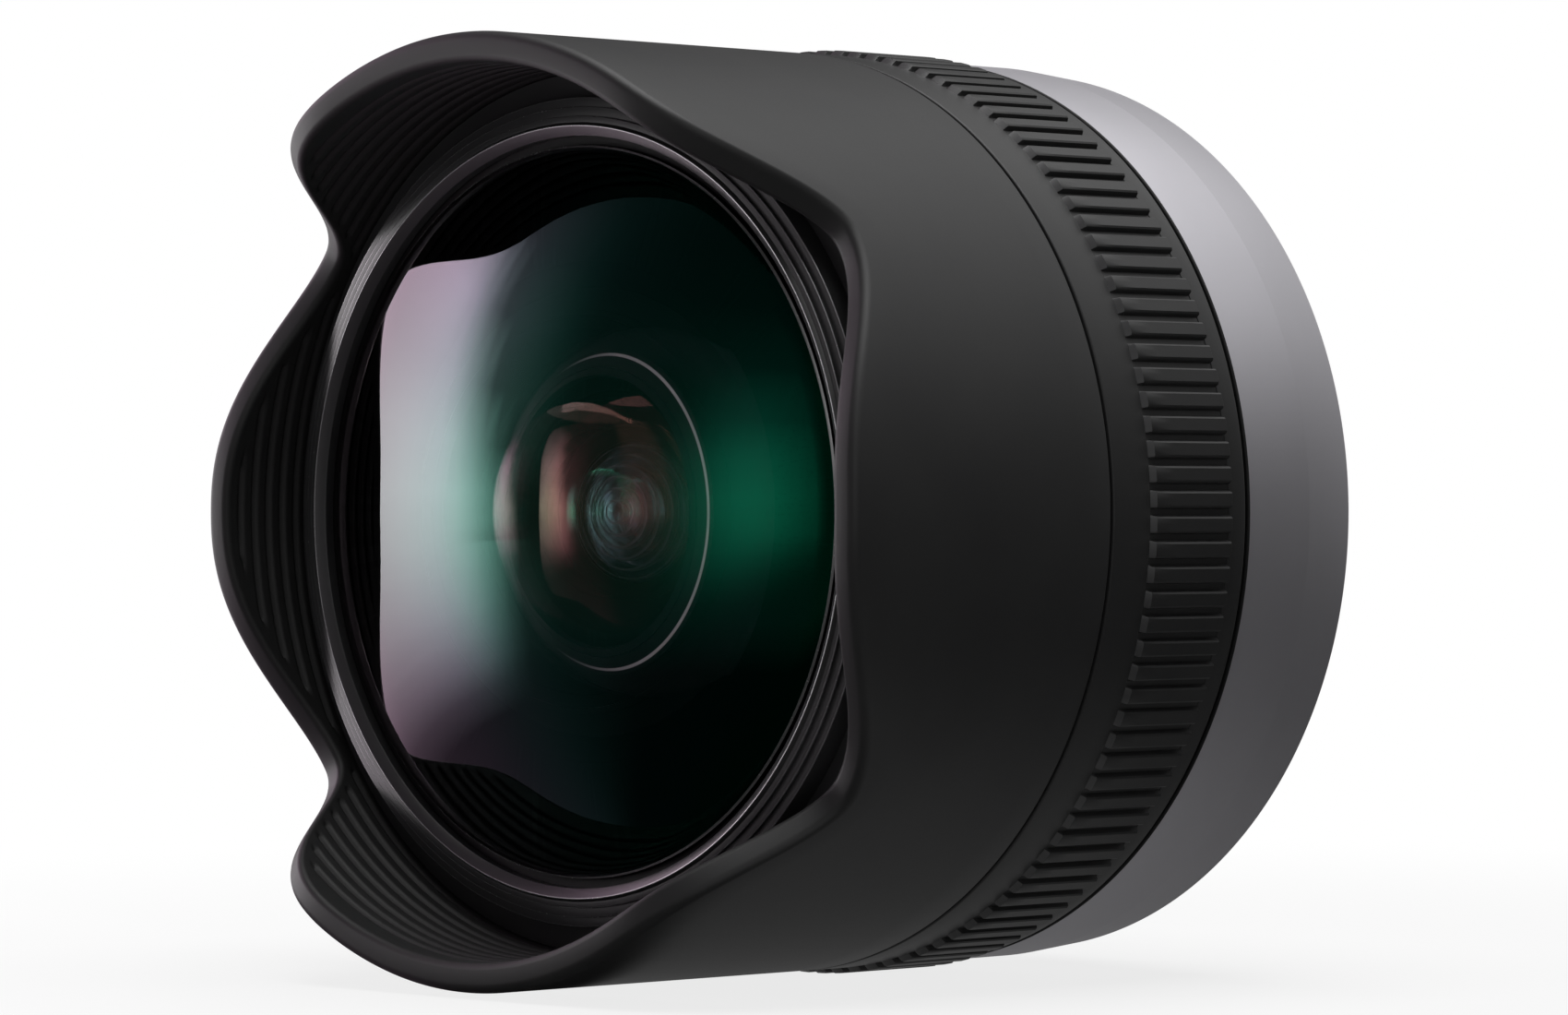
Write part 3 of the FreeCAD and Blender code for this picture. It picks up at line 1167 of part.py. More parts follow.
def aperture_cam_ring():
    """The ring that turns all the blades together, with teeth only where the pinion drives it."""
    slot = cam_slot()
    slots = []
    for k in range(BLADES):
        copy = slot.copy()
        copy.rotate(Vector(0, 0, 0), Vector(0, 0, 1), k * WHOLE_TURN / BLADES)
        slots.append(copy)
    mesh_angle = v.pinion_angle
    ring = prism([gear_wire(CAM_TEETH, v.gear_module, mesh_angle), ring_wire(v.cam_bore)] + slots,
                 v.cam_rear, v.cam_thick)
    plain_radius = v.cam_pitch_radius - TOOTH_ROOM * v.gear_module
    first = mesh_angle - v.cam_spare_angle
    last = mesh_angle + v.cam_turn_angle + v.cam_spare_angle
    outside = v.base_radius + v.cam_inset + CUT_ROOM
    rest = WHOLE_TURN + first - last
    corners = [polar(plain_radius, last)]
    corners += [polar(outside, last + rest * k / TRIM_SIDES) for k in range(TRIM_SIDES + 1)]
    corners.append(polar(plain_radius, first))
    trim_edges = [Part.makeLine(start, end) for start, end in zip(corners, corners[1:])]
    inner_middle = polar(plain_radius, (first + last) / 2 + HALF_TURN)
    trim_edges.append(Part.Arc(corners[-1], inner_middle, corners[0]).toShape())
    trim = prism([Part.Wire(trim_edges)], v.cam_rear - CUT_ROOM, v.cam_thick + 2 * CUT_ROOM)
    return ring.cut(trim)


new_feature("aperture_cam_ring", aperture_cam_ring())


def aperture_pinion():
    """The small pinion on its rotor's shaft, in mesh with the cam ring."""
    centre = polar(v.pinion_circle, v.pinion_angle)
    teeth = prism([gear_wire(PINION_TEETH, v.gear_module, v.pinion_angle + HALF_TURN
                             + HALF_TURN / PINION_TEETH)], v.cam_rear - v.fit_gap, v.cam_thick)
    magnet_gap = v.pinion_motor_skin + v.rotor_gap
    magnet_rear = v.pinion_motor_rear + magnet_gap
    magnet_front = v.bulkhead_rear - magnet_gap
    parts = [
        Part.makeCylinder(v.pinion_tail_radius, magnet_gap, Vector(0, 0, v.pinion_motor_rear)),
        Part.makeCylinder(v.pinion_motor_radius - magnet_gap, magnet_front - magnet_rear,
                          Vector(0, 0, magnet_rear)),
        Part.makeCylinder(v.pinion_shaft_radius, v.cam_rear + v.cam_thick / 2 - magnet_front,
                          Vector(0, 0, magnet_front))]
    pinion = teeth.fuse(parts)
    pinion.translate(centre)
    return pinion


new_feature("aperture_pinion", aperture_pinion())
stepping_motor("aperture_motor", "pinion_motor_rear", "pinion_motor_radius", "pinion_motor_skin",
               "pinion_shaft_radius", "pinion_tail_radius", "pinion_circle", "pinion_angle")

# Rear lens cell with six elements, the last two groups behind the flange

rear_cell = turned("rear_cell", [
    ("glass5_radius - glass_ledge", "base_rear"), ("rear_cell_radius", "base_rear"),
    ("rear_cell_radius", "bulkhead_rear"), ("rear_cell_flange_radius", "bulkhead_rear"),
    ("rear_cell_flange_radius", "bulkhead_rear - rear_cell_flange_thick"),
    ("rear_cell_radius", "bulkhead_rear - rear_cell_flange_thick"),
    ("rear_cell_radius", "rear_cell_rear"), ("glass10_radius + fit_gap", "rear_cell_rear"),
    ("glass10_radius + fit_gap", "glass10_front"), ("glass9_radius + fit_gap", "glass10_front"),
    ("glass9_radius + fit_gap", "glass9_front"), ("glass7_radius + fit_gap", "glass9_front"),
    ("glass7_radius + fit_gap", "glass7_front"), ("glass6_radius + fit_gap", "glass7_front"),
    ("glass6_radius + fit_gap", "glass6_front"), ("glass5_radius + fit_gap", "glass6_front"),
    ("glass5_radius + fit_gap", "glass5_front"), ("glass5_radius - glass_ledge", "glass5_front")])
drill(rear_cell, "rear_cell_holes", "bulkhead_rear", "rear_cell_flange_thick",
      [("rear_cell_screw_circle", "small_screw_radius + fit_gap")], "post_angle", SCREWS)
small_screws("rear_cell_screws", "bulkhead_rear - rear_cell_flange_thick",
             "rear_cell_flange_thick + bulkhead_thick - screw_shortfall", "rear_cell_screw_circle",
             "bulkhead_rear - rear_cell_flange_thick - small_head_thick")
glass("fifth_element", "glass5_radius", "glass5_seat", "glass5_edge", "glass5_front_curve",
      "glass5_rear_curve", -1, -1)
glass("sixth_element", "glass6_radius", "glass6_seat", "glass6_edge", "glass6_front_curve",
      "glass6_rear_curve", 1, -1)
glass("seventh_element", "glass7_radius", "glass7_seat", "glass7_edge", "glass7_front_curve",
      "glass7_rear_curve", -1, -1)
glass("eighth_element", "glass7_radius", "glass8_seat", "glass8_edge", "glass7_rear_curve",
      "glass8_rear_curve", -1, -1)
glass("ninth_element", "glass9_radius", "glass9_seat", "glass9_edge", "glass9_front_curve",
      "glass9_rear_curve", 1, 1, "glass9_ledge")
glass("tenth_element", "glass10_radius", "glass10_seat", "glass10_edge", "glass10_front_curve",
      "glass10_rear_curve", 1, -1, "glass10_ledge")
turned("rear_retaining_ring", [
    ("glass10_radius - glass_ledge", "rear_cell_rear"), ("glass10_radius", "rear_cell_rear"),
    ("glass10_radius", "glass10_seat"), ("glass10_radius - glass_ledge", "glass10_seat")])

filter_frame = new_body("gel_filter_frame")
frame_disc = sketch_across(filter_frame, "frame_disc", "filter_frame_rear")
add_circle(frame_disc, None, "filter_frame_radius")
add_rectangle(frame_disc, "-filter_window_width / 2", "filter_window_width / 2", "filter_window_height")
add_feature(filter_frame, "Pad", frame_disc, "filter_frame_thick")
filter_slot = sketch_across(filter_frame, "filter_slot",
                            "filter_frame_rear + (filter_frame_thick + filter_slot) / 2")
add_rectangle(filter_slot, "-filter_slot_width / 2", "filter_frame_radius + %s" % CUT_ROOM,
              "filter_window_height + 2 * glass_ledge")
add_feature(filter_frame, "Pocket", filter_slot, "filter_slot")

# Mount and electronics

mount_plate = turned("mount_plate", [
    ("bayonet_bore", "-bayonet_length"), ("bayonet_radius", "-bayonet_length"),
    ("bayonet_radius", "flange_face"), ("mount_flange_radius", "flange_face"),
    ("mount_flange_radius", "mount_plate_thick"), ("bayonet_bore", "mount_plate_thick")])
lug_sketch = sketch_across(mount_plate, "lug", "-lug_setback - lug_thick", "lug_angle")
add_sector(lug_sketch, "lug_root", "lug_radius", "lug_half_angle")
lug = add_feature(mount_plate, "Pad", lug_sketch, "lug_thick")
repeat(mount_plate, [lug], LUGS)
drill(mount_plate, "plate_holes", "mount_plate_thick", "mount_plate_thick",
      [("mount_screw_circle", "mount_screw_radius + fit_gap")], "mount_screw_angle", MOUNT_SCREWS)
drill(mount_plate, "plate_recesses", "mount_head_thick + fit_gap", "mount_head_thick + fit_gap",
      [("mount_screw_circle", "mount_head_radius + fit_gap")], "mount_screw_angle", MOUNT_SCREWS)
drill(mount_plate, "lock_hole", "mount_plate_thick", "mount_plate_thick",
      [("mount_screw_circle", "lock_hole_radius")], "lock_hole_angle")

mount_screws = new_body("mount_screws")
shank = post(mount_screws, "mount_shank", "mount_head_thick + fit_gap",
             "board_rear - mount_head_thick - screw_shortfall", "mount_screw_circle",
             "mount_screw_radius", "mount_screw_angle")
head = post(mount_screws, "mount_head", "fit_gap", "mount_head_thick", "mount_screw_circle",
            "mount_head_radius", "mount_screw_angle")
repeat(mount_screws, [shank, head], MOUNT_SCREWS)

shield = turned("rear_light_shield", [
    ("rear_cell_radius + fit_gap", "shield_front - shield_thick"),
    ("bayonet_bore - fit_gap", "shield_front - shield_thick"), ("bayonet_bore - fit_gap", "shield_front"),
    ("rear_cell_radius + fit_gap", "shield_front")])
shield_cut = sketch_across(shield, "shield_cut", "shield_front", "contact_angle")
add_sector(shield_cut, "block_cut_inner", "block_cut_outer", "block_cut_half_angle")
add_feature(shield, "Pocket", shield_cut, "shield_thick")

contact_block = new_body("contact_block")
block_sector = sketch_across(contact_block, "contact_sector", "-contact_block_rear", "contact_angle")
add_sector(block_sector, "contact_block_inner", "contact_block_outer", "contact_block_half_angle")
add_feature(contact_block, "Pad", block_sector, "contact_block_rear + contact_block_front")
contact_pins = new_body("contact_pins")
for number in range(CONTACTS):
    angle = "contact_angle + %d * contact_pitch_angle" % (number - CONTACTS // 2)
    drill(contact_block, "contact_seat_%d" % number, "contact_depth - contact_block_rear", "contact_depth",
          [("contact_circle", "contact_radius + fit_gap / 2")], angle)
    post(contact_pins, "contact_%d" % number, "-contact_block_rear - contact_proud",
         "contact_depth + contact_proud", "contact_circle", "contact_radius", angle)

circuit_board = turned("circuit_board", [
    ("board_bore", "board_rear"), ("rear_tube_bore - board_clearance", "board_rear"),
    ("rear_tube_bore - board_clearance", "board_front"), ("board_bore", "board_front")])
board_chips = new_body("board_chips")
for number, (turn, share) in enumerate(CHIPS):
    block(board_chips, "chip_%d" % number, "board_front", "chip_height", "board_bore + chip_inset",
          "board_bore + chip_inset + chip_size", "chip_size * %s" % share, turn)

flex_ribbon = new_body("flex_ribbon")
block(flex_ribbon, "ribbon_rise", "contact_block_front", "board_rear - contact_block_front",
      "contact_circle", "contact_circle + ribbon_thick", "ribbon_width", "contact_angle")
block(flex_ribbon, "ribbon_tab", "board_rear - ribbon_thick", "ribbon_thick",
      "contact_circle", "rear_flange_bore - ribbon_clearance", "ribbon_width", "contact_angle")

doc.recompute()


def check_document():
    """Stop if any object failed or any piece isn't a sound solid."""
    for item in doc.Objects:
        if "Invalid" in item.State or "Error" in item.State:
            raise RuntimeError("%s failed: %s" % (item.Label, item.State))
    for piece in pieces:
        shape = piece.Shape
        if shape.isNull() or not shape.isValid() or not shape.Solids:
            raise RuntimeError("%s has no sound solid" % piece.Label)


check_document()
os.makedirs("parts", exist_ok=True)
for piece in pieces:
    piece.Shape.exportStep(os.path.join("parts", piece.Label + ".step"))
    print("%-24s %2d solids %9.2f mm3" % (piece.Label, len(piece.Shape.Solids), piece.Shape.Volume))
print(len(pieces), "pieces")
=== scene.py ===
import json
import math

import bmesh
import bpy
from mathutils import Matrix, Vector


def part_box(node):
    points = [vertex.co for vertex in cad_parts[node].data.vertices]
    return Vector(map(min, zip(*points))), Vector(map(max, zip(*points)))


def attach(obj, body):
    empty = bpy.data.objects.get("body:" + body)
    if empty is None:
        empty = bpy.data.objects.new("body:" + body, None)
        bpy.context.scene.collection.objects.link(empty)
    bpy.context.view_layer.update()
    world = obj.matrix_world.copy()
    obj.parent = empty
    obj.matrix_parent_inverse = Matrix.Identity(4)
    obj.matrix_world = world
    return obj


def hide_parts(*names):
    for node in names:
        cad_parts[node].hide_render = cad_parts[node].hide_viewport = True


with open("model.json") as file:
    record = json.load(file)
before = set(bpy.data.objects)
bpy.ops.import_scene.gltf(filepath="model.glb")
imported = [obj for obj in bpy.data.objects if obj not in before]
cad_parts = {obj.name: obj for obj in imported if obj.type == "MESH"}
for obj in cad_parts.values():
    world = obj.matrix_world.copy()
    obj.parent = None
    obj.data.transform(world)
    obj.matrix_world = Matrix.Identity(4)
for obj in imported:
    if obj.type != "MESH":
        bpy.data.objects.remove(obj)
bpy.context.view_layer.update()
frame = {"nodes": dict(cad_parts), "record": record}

# A fisheye camera lens with a petal hood. Radii and stations are in millimetres; a station is
# measured forward along the optical axis from the mount's flange face, and an angle goes up
# from the near side. Meshes are in metres, in the row's frame.
MM = 0.001
NODES = frame["nodes"]

# Sizes that the frame's boxes don't give

HOOD_WALL = 1.9
BARREL_WALL = 1.55
LEDGE_WIDTH = 2.75
LEDGE_THICK = 1.2
SIDE_PETAL_DROP = 4.4
VALLEY_DROP = 9.75
VALLEY_ANGLE = 35.0
PETAL_FLAT_ANGLE = 70.0
SIDE_PETAL_BEND = 1.3
TOP_PETAL_BEND = 2.8
LIP_OUTER_ROUND = 0.62
LIP_INNER_ROUND = 0.45
LIP_MARGIN = 1.0
LIP_CLEAR = 0.05
BAFFLE_PITCH = 1.2
BAFFLE_DEPTH = 0.3
BAFFLE_HALF_SHARE = 0.22
BAFFLE_RUN_OUT = 0.3
EDGE_ROUND = 0.15
SMALL_ROUND = 0.05
GRIP_START = 1.65
GRIP_SEAT_DEPTH = 0.8
RING_WALL = 2.55
SLEEVE_NECK = 28.5
RIBS = 120
RIB_HEIGHT = 0.4
RIB_TOP_SHARE = 0.6
RIB_ROOT_SHARE = 0.76
RIB_RAMP = 0.42
RIB_STRIP = 0.07
RIB_SHOULDER = 0.07
RIB_EDGE_SHARE = 0.06
RIB_TOE = 0.08
SHELL_TAPER = 0.4
SHELL_WALL = 1.2
SHELL_CREASE = 4.4
REAR_BORE = 24.85
CHANNEL_WIDTH = 2.7
STEP_WIDTH = 0.6
STEP_DROP = 0.24
BEZEL_FLOOR_DROP = 1.0
BEZEL_OVERHANG = 0.31
BEZEL_LIP = 0.65
BEZEL_HEIGHT = 1.14
BEZEL_FLOOR_THICK = 1.2
BEZEL_GLINT_REACH = 0.09
FIT_GAP = 0.05
GLASS1_LEDGE_WIDTH = 0.9
GLASS1_EDGE = 4.05
GLASS1_NECK = 1.1
GLASS2_EDGE = 4.5
EDGE_BEVEL = 0.12
CELL_HIGHLIGHT_RADIUS = 11.48
CELL_HIGHLIGHT_WIDTH = 0.12
PAINTED_RING_PITCH = 1.25
GRAIN_DEPTH = 0.02
GLASS_IOR = 1.6

COLUMNS = 720
GLASS_COLUMNS = 256


def rear_of(node):
    """The station of a node's rear end."""
    return -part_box(node)[1].y / MM


def front_of(node):
    """The station of a node's front end."""
    return -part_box(node)[0].y / MM


def radius_of(node):
    """The outer radius of a round node."""
    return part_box(node)[1].x / MM


BARREL_RADIUS = radius_of("front_barrel")
BARREL_REAR = rear_of("front_barrel")
HOOD_TIP = front_of("front_barrel")
HOOD_INNER = BARREL_RADIUS - HOOD_WALL
RING_REAR = rear_of("focus_grip") - GRIP_START
RING_FRONT = front_of("focus_sleeve")
GRIP_REAR = rear_of("focus_grip")
GRIP_FRONT = front_of("focus_grip")
GRIP_RADIUS = radius_of("focus_grip")
SHELL_REAR = rear_of("rear_barrel")
SHELL_FRONT = front_of("rear_barrel")
CHANNEL_FLOOR = rear_of("front_bezel") + BEZEL_FLOOR_THICK
CELL_FRONT = CHANNEL_FLOOR + BEZEL_FLOOR_DROP
CELL_REAR = rear_of("front_cell")


# Meshes

def place(radius, degrees, station):
    """A point of the row's frame from its radius, angle and station."""
    angle = math.radians(degrees)
    return Vector((radius * math.cos(angle), -station, radius * math.sin(angle))) * MM


def new_object(name, data):
    """An object in the scene."""
    made = bpy.data.objects.new(name, data)
    bpy.context.scene.collection.objects.link(made)
    return made


def finish_mesh(name, points, faces, sharp_degrees):
    """A smooth-shaded mesh object whose edges over an angle stay sharp."""
    mesh = bpy.data.meshes.new(name)
    mesh.from_pydata(points, [], faces)
    mesh.validate()
    shell = bmesh.new()
    shell.from_mesh(mesh)
    bmesh.ops.recalc_face_normals(shell, faces=shell.faces)
    shell.to_mesh(mesh)
    shell.free()
    for polygon in mesh.polygons:
        polygon.use_smooth = True
    mesh.set_sharp_from_angle(angle=math.radians(sharp_degrees))
    return new_object(name, mesh)


def skin(name, rows, closed, sharp_degrees=35.0):
    """A surface through rows of points round the axis. A row of one point closes an end."""
    points = [p for row in rows for p in row]
    starts = [0]
    for row in rows:
        starts.append(starts[-1] + len(row))
    faces = []
    pairs = list(zip(range(len(rows)), range(1, len(rows))))
    if closed:
        pairs.append((len(rows) - 1, 0))
    for low, high in pairs:
        count = max(len(rows[low]), len(rows[high]))
        for k in range(count):
            n = (k + 1) % count
            a, b = starts[low] + k % len(rows[low]), starts[low] + n % len(rows[low])
            c, d = starts[high] + n % len(rows[high]), starts[high] + k % len(rows[high])
            corners = list(dict.fromkeys((a, b, c, d)))
            faces.append(corners)
    return finish_mesh(name, points, faces, sharp_degrees)


def rounded(corners, pieces=4):
    """A section's corners as radius, station and rounding, with each rounding as an arc."""
    section = []
    count = len(corners)
    for k, (radius, station, size) in enumerate(corners):
        here = Vector((radius, station))
        if size == 0:
            section.append((radius, station))
            continue
        before = (Vector(corners[k - 1][:2]) - here).normalized()
        after = (Vector(corners[(k + 1) % count][:2]) - here).normalized()
        half = before.angle(after) / 2
        reach = size / math.tan(half)
        middle = here + (before + after).normalized() * (size / math.sin(half))
        start, end = here + before * reach - middle, here + after * reach - middle
        turn = start.angle_signed(end)
        for j in range(pieces + 1):
            bend = -turn * j / pieces
            arm = Vector((start.x * math.cos(bend) - start.y * math.sin(bend),
                          start.x * math.sin(bend) + start.y * math.cos(bend)))
            section.append(tuple(middle + arm))
    return section


def turned(name, section, body, node, columns=COLUMNS, closed=True, sharp_degrees=35.0):
    """A turned piece that stands for a node."""
    rows = []
    for radius, station in section:
        count = columns if radius > 0 else 1
        rows.append([place(radius, 360 * k / columns, station) for k in range(count)])
    return fit(skin(name, rows, closed, sharp_degrees), body, node)


def fit(piece, body, node):
    """The piece rides on its body and stands for the node, which is hidden."""
    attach(piece, body)
    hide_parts(node)
    return piece


def smooth_step(share):
    """0 below 0 and 1 above 1, with a soft rise between."""
    share = min(1.0, max(0.0, share))
    return share * share * (3 - 2 * share)


def rim_station(degrees):
    """How far forward the hood's edge reaches at an angle."""
    from_side = abs((degrees + 90) % 180 - 90)
    side_tip = HOOD_TIP - SIDE_PETAL_DROP
    valley = HOOD_TIP - VALLEY_DROP
    if from_side < VALLEY_ANGLE:
        return side_tip + (valley - side_tip) * smooth_step(
            (from_side / VALLEY_ANGLE) ** SIDE_PETAL_BEND)
    share = (from_side - VALLEY_ANGLE) / (PETAL_FLAT_ANGLE - VALLEY_ANGLE)
    return valley + (HOOD_TIP - valley) * (1 - (1 - smooth_step(share)) ** TOP_PETAL_BEND)


# Materials

def new_material(name):
    """A material with its node tree and its shader."""
    material = bpy.data.materials.new(name)
    material.use_nodes = True
    tree = material.node_tree
    return material, tree, tree.nodes["Principled BSDF"]


def add_node(tree, kind, **values):
    """A node with the named inputs and settings."""
    node = tree.nodes.new(kind)
    for key, value in values.items():
        if key in node.inputs:
            node.inputs[key].default_value = value
        else:
            setattr(node, key, value)
    return node


def show(tree, output):
    """Make a shader the material's surface."""
    tree.links.new(output, tree.nodes["Material Output"].inputs["Surface"])


def finish_of(name, dark, light, rough_low, rough_high, grain, bump, metallic=0.0, specular=0.5):
    """A painted, moulded or machined finish: mottled colour and gloss, and a fine grain."""
    material, tree, shader = new_material(name)
    shader.inputs["Metallic"].default_value = metallic
    shader.inputs["Specular IOR Level"].default_value = specular
    link = tree.links.new
    place_node = add_node(tree, "ShaderNodeTexCoord")
    cloud = add_node(tree, "ShaderNodeTexNoise", Scale=90.0, Detail=4.0)
    speck = add_node(tree, "ShaderNodeTexNoise", Scale=grain, Detail=3.0)
    colours = add_node(tree, "ShaderNodeValToRGB")
    colours.color_ramp.elements[0].position, colours.color_ramp.elements[1].position = 0.3, 0.7
    colours.color_ramp.elements[0].color = (*dark, 1.0)
    colours.color_ramp.elements[1].color = (*light, 1.0)
    gloss = add_node(tree, "ShaderNodeMapRange")
    gloss.inputs["To Min"].default_value = rough_low
    gloss.inputs["To Max"].default_value = rough_high
    relief = add_node(tree, "ShaderNodeBump", Strength=bump, Distance=GRAIN_DEPTH * MM)
    link(place_node.outputs["Object"], cloud.inputs["Vector"])
    link(place_node.outputs["Object"], speck.inputs["Vector"])
    link(cloud.outputs["Fac"], colours.inputs["Fac"])
    link(speck.outputs["Fac"], gloss.inputs["Value"])
    link(speck.outputs["Fac"], relief.inputs["Height"])
    link(colours.outputs["Color"], shader.inputs["Base Color"])
    link(gloss.outputs["Result"], shader.inputs["Roughness"])
    link(relief.outputs["Normal"], shader.inputs["Normal"])
    return material


def coated_glass(name, tints):
    """Optical glass whose anti-reflection coating changes its colour with the angle of the light.

    Each tint has the share of a turn away from facing that it starts at.
    """
    material, tree, shader = new_material(name)
    shader.inputs["Transmission Weight"].default_value = 1.0
    shader.inputs["IOR"].default_value = GLASS_IOR
    link = tree.links.new
    slant = add_node(tree, "ShaderNodeLayerWeight", Blend=0.5)
    colours = add_node(tree, "ShaderNodeValToRGB")
    stops = colours.color_ramp.elements
    while len(stops) < len(tints):
        stops.new(0.5)
    for stop, (start, tint) in zip(stops, tints):
        stop.position = start
        stop.color = (*tint, 1.0)
    link(slant.outputs["Facing"], colours.inputs["Fac"])
    link(colours.outputs["Color"], shader.inputs["Specular Tint"])
    place_node = add_node(tree, "ShaderNodeTexCoord")
    haze = add_node(tree, "ShaderNodeTexNoise", Scale=400.0, Detail=2.0)
    gloss = add_node(tree, "ShaderNodeMapRange")
    gloss.inputs["To Min"].default_value = 0.0
    gloss.inputs["To Max"].default_value = 0.006
    link(place_node.outputs["Object"], haze.inputs["Vector"])
    link(haze.outputs["Fac"], gloss.inputs["Value"])
    link(gloss.outputs["Result"], shader.inputs["Roughness"])
    return material


def dress(target, material):
    """One material on every slot of an object."""
    if target.data.materials:
        for k in range(len(target.data.materials)):
            target.data.materials[k] = material
    else:
        target.data.materials.append(material)


satin_black = finish_of("satin_black", (0.018, 0.018, 0.0185), (0.024, 0.024, 0.024), 0.44, 0.52,
                        9000.0, 0.12, specular=0.25)
hood_black = finish_of("hood_black", (0.011, 0.011, 0.011), (0.015, 0.015, 0.015), 0.5, 0.62,
                       9000.0, 0.15, specular=0.3)
bezel_black = finish_of("bezel_black", (0.026, 0.026, 0.027), (0.032, 0.032, 0.033), 0.3, 0.38,
                        7000.0, 0.05)
grip_black = finish_of("grip_black", (0.019, 0.019, 0.0195), (0.025, 0.025, 0.025), 0.38, 0.46,
                       8000.0, 0.1, specular=0.25)
graphite = finish_of("graphite", (0.385, 0.376, 0.402), (0.41, 0.4, 0.428), 0.41, 0.49, 9000.0, 0.1,
                     metallic=0.72, specular=1.0)
inner_black = finish_of("inner_black", (0.002, 0.002, 0.0022), (0.003, 0.003, 0.0032), 0.55, 0.7,
                        6000.0, 0.1, specular=0.25)
edge_ink = finish_of("edge_ink", (0.001, 0.001, 0.0011), (0.0015, 0.0015, 0.0016), 0.6, 0.7,
                     6000.0, 0.05, specular=0.1)
# A pale, glossy edge finish: its light grey is a painted highlight for the glints along edges and
# rims, on top of real gloss.
painted_glint_edge = finish_of("painted_glint_edge", (0.26, 0.26, 0.265), (0.34, 0.34, 0.345), 0.22, 0.3,
                      6000.0, 0.04, metallic=0.7)
# A lighter grey for the ribs' forward-facing ends: painted light for the light those ends catch,
# with a somewhat glossier finish.
rib_end_painted_light = finish_of("rib_end_painted_light", (0.04, 0.04, 0.041), (0.05, 0.05, 0.051), 0.32, 0.4,
                    8000.0, 0.08)
chrome = finish_of("chrome", (0.66, 0.66, 0.67), (0.74, 0.74, 0.75), 0.2, 0.3, 5000.0, 0.05, 0.65)
steel = finish_of("steel", (0.5, 0.5, 0.52), (0.58, 0.58, 0.6), 0.25, 0.35, 5000.0, 0.05, 1.0)
blade_steel = finish_of("blade_steel", (0.05, 0.05, 0.055), (0.07, 0.07, 0.075), 0.35, 0.45,
                        6000.0, 0.05, 1.0)
brass = finish_of("brass", (0.72, 0.52, 0.24), (0.78, 0.6, 0.3), 0.25, 0.35, 5000.0, 0.05, 1.0)
gold = finish_of("gold", (0.85, 0.62, 0.28), (0.9, 0.68, 0.32), 0.2, 0.28, 5000.0, 0.03, 1.0)
red_paint = finish_of("red_paint", (0.5, 0.015, 0.015), (0.6, 0.025, 0.02), 0.2, 0.3,
                      6000.0, 0.03)
board_green = finish_of("board_green", (0.015, 0.1, 0.045), (0.025, 0.13, 0.055), 0.3, 0.4,
                        2500.0, 0.08)
film_amber = finish_of("film_amber", (0.4, 0.17, 0.03), (0.5, 0.22, 0.05), 0.25, 0.35,
                       2500.0, 0.03)
slide_white = finish_of("slide_white", (0.66, 0.66, 0.64), (0.72, 0.72, 0.7), 0.4, 0.5,
                        5000.0, 0.05)
green_coat = coated_glass("green_coat", (
    (0.0, (0.02, 1.0, 0.5)), (0.29, (0.02, 1.0, 0.6)), (0.36, (0.2, 1.0, 0.75)),
    (0.45, (0.65, 1.0, 1.0)), (0.6, (0.9, 0.9, 1.0)), (0.75, (1.0, 0.1, 0.55))))
deep_green_coat = coated_glass("deep_green_coat", (
    (0.0, (0.02, 0.6, 0.3)), (0.5, (0.3, 1.0, 0.6))))
amber_coat = coated_glass("amber_coat", (
    (0.0, (1.0, 0.4, 0.45)), (0.26, (1.0, 0.42, 0.36)), (0.31, (1.0, 0.62, 0.4)),
    (0.36, (1.0, 0.85, 0.5)), (0.46, (0.95, 0.95, 0.55)), (0.56, (1.0, 1.0, 0.85))))
brown_coat = coated_glass("brown_coat", ((0.0, (0.22, 0.1, 0.07)), (0.5, (0.3, 0.14, 0.1))))
inner_glass = coated_glass("inner_glass", ((0.0, (0.5, 0.8, 0.9)), (0.5, (0.8, 0.9, 1.0))))


def axis_distance(tree, place_node):
    """How far a point of the mesh is from the optical axis."""
    flat = add_node(tree, "ShaderNodeVectorMath", operation="MULTIPLY")
    flat.inputs[1].default_value = (1.0, 0.0, 1.0)
    far = add_node(tree, "ShaderNodeVectorMath", operation="LENGTH")
    tree.links.new(place_node.outputs["Object"], flat.inputs[0])
    tree.links.new(flat.outputs["Vector"], far.inputs[0])
    return far.outputs["Value"]


def soft_range(tree, value, start, end, most=1.0):
    """A smooth rise from 0 at the start to the most at the end."""
    ramp = add_node(tree, "ShaderNodeMapRange", interpolation_type="SMOOTHSTEP")
    ramp.inputs["From Min"].default_value = start
    ramp.inputs["From Max"].default_value = end
    ramp.inputs["To Max"].default_value = most
    tree.links.new(value, ramp.inputs["Value"])
    return ramp.outputs["Result"]


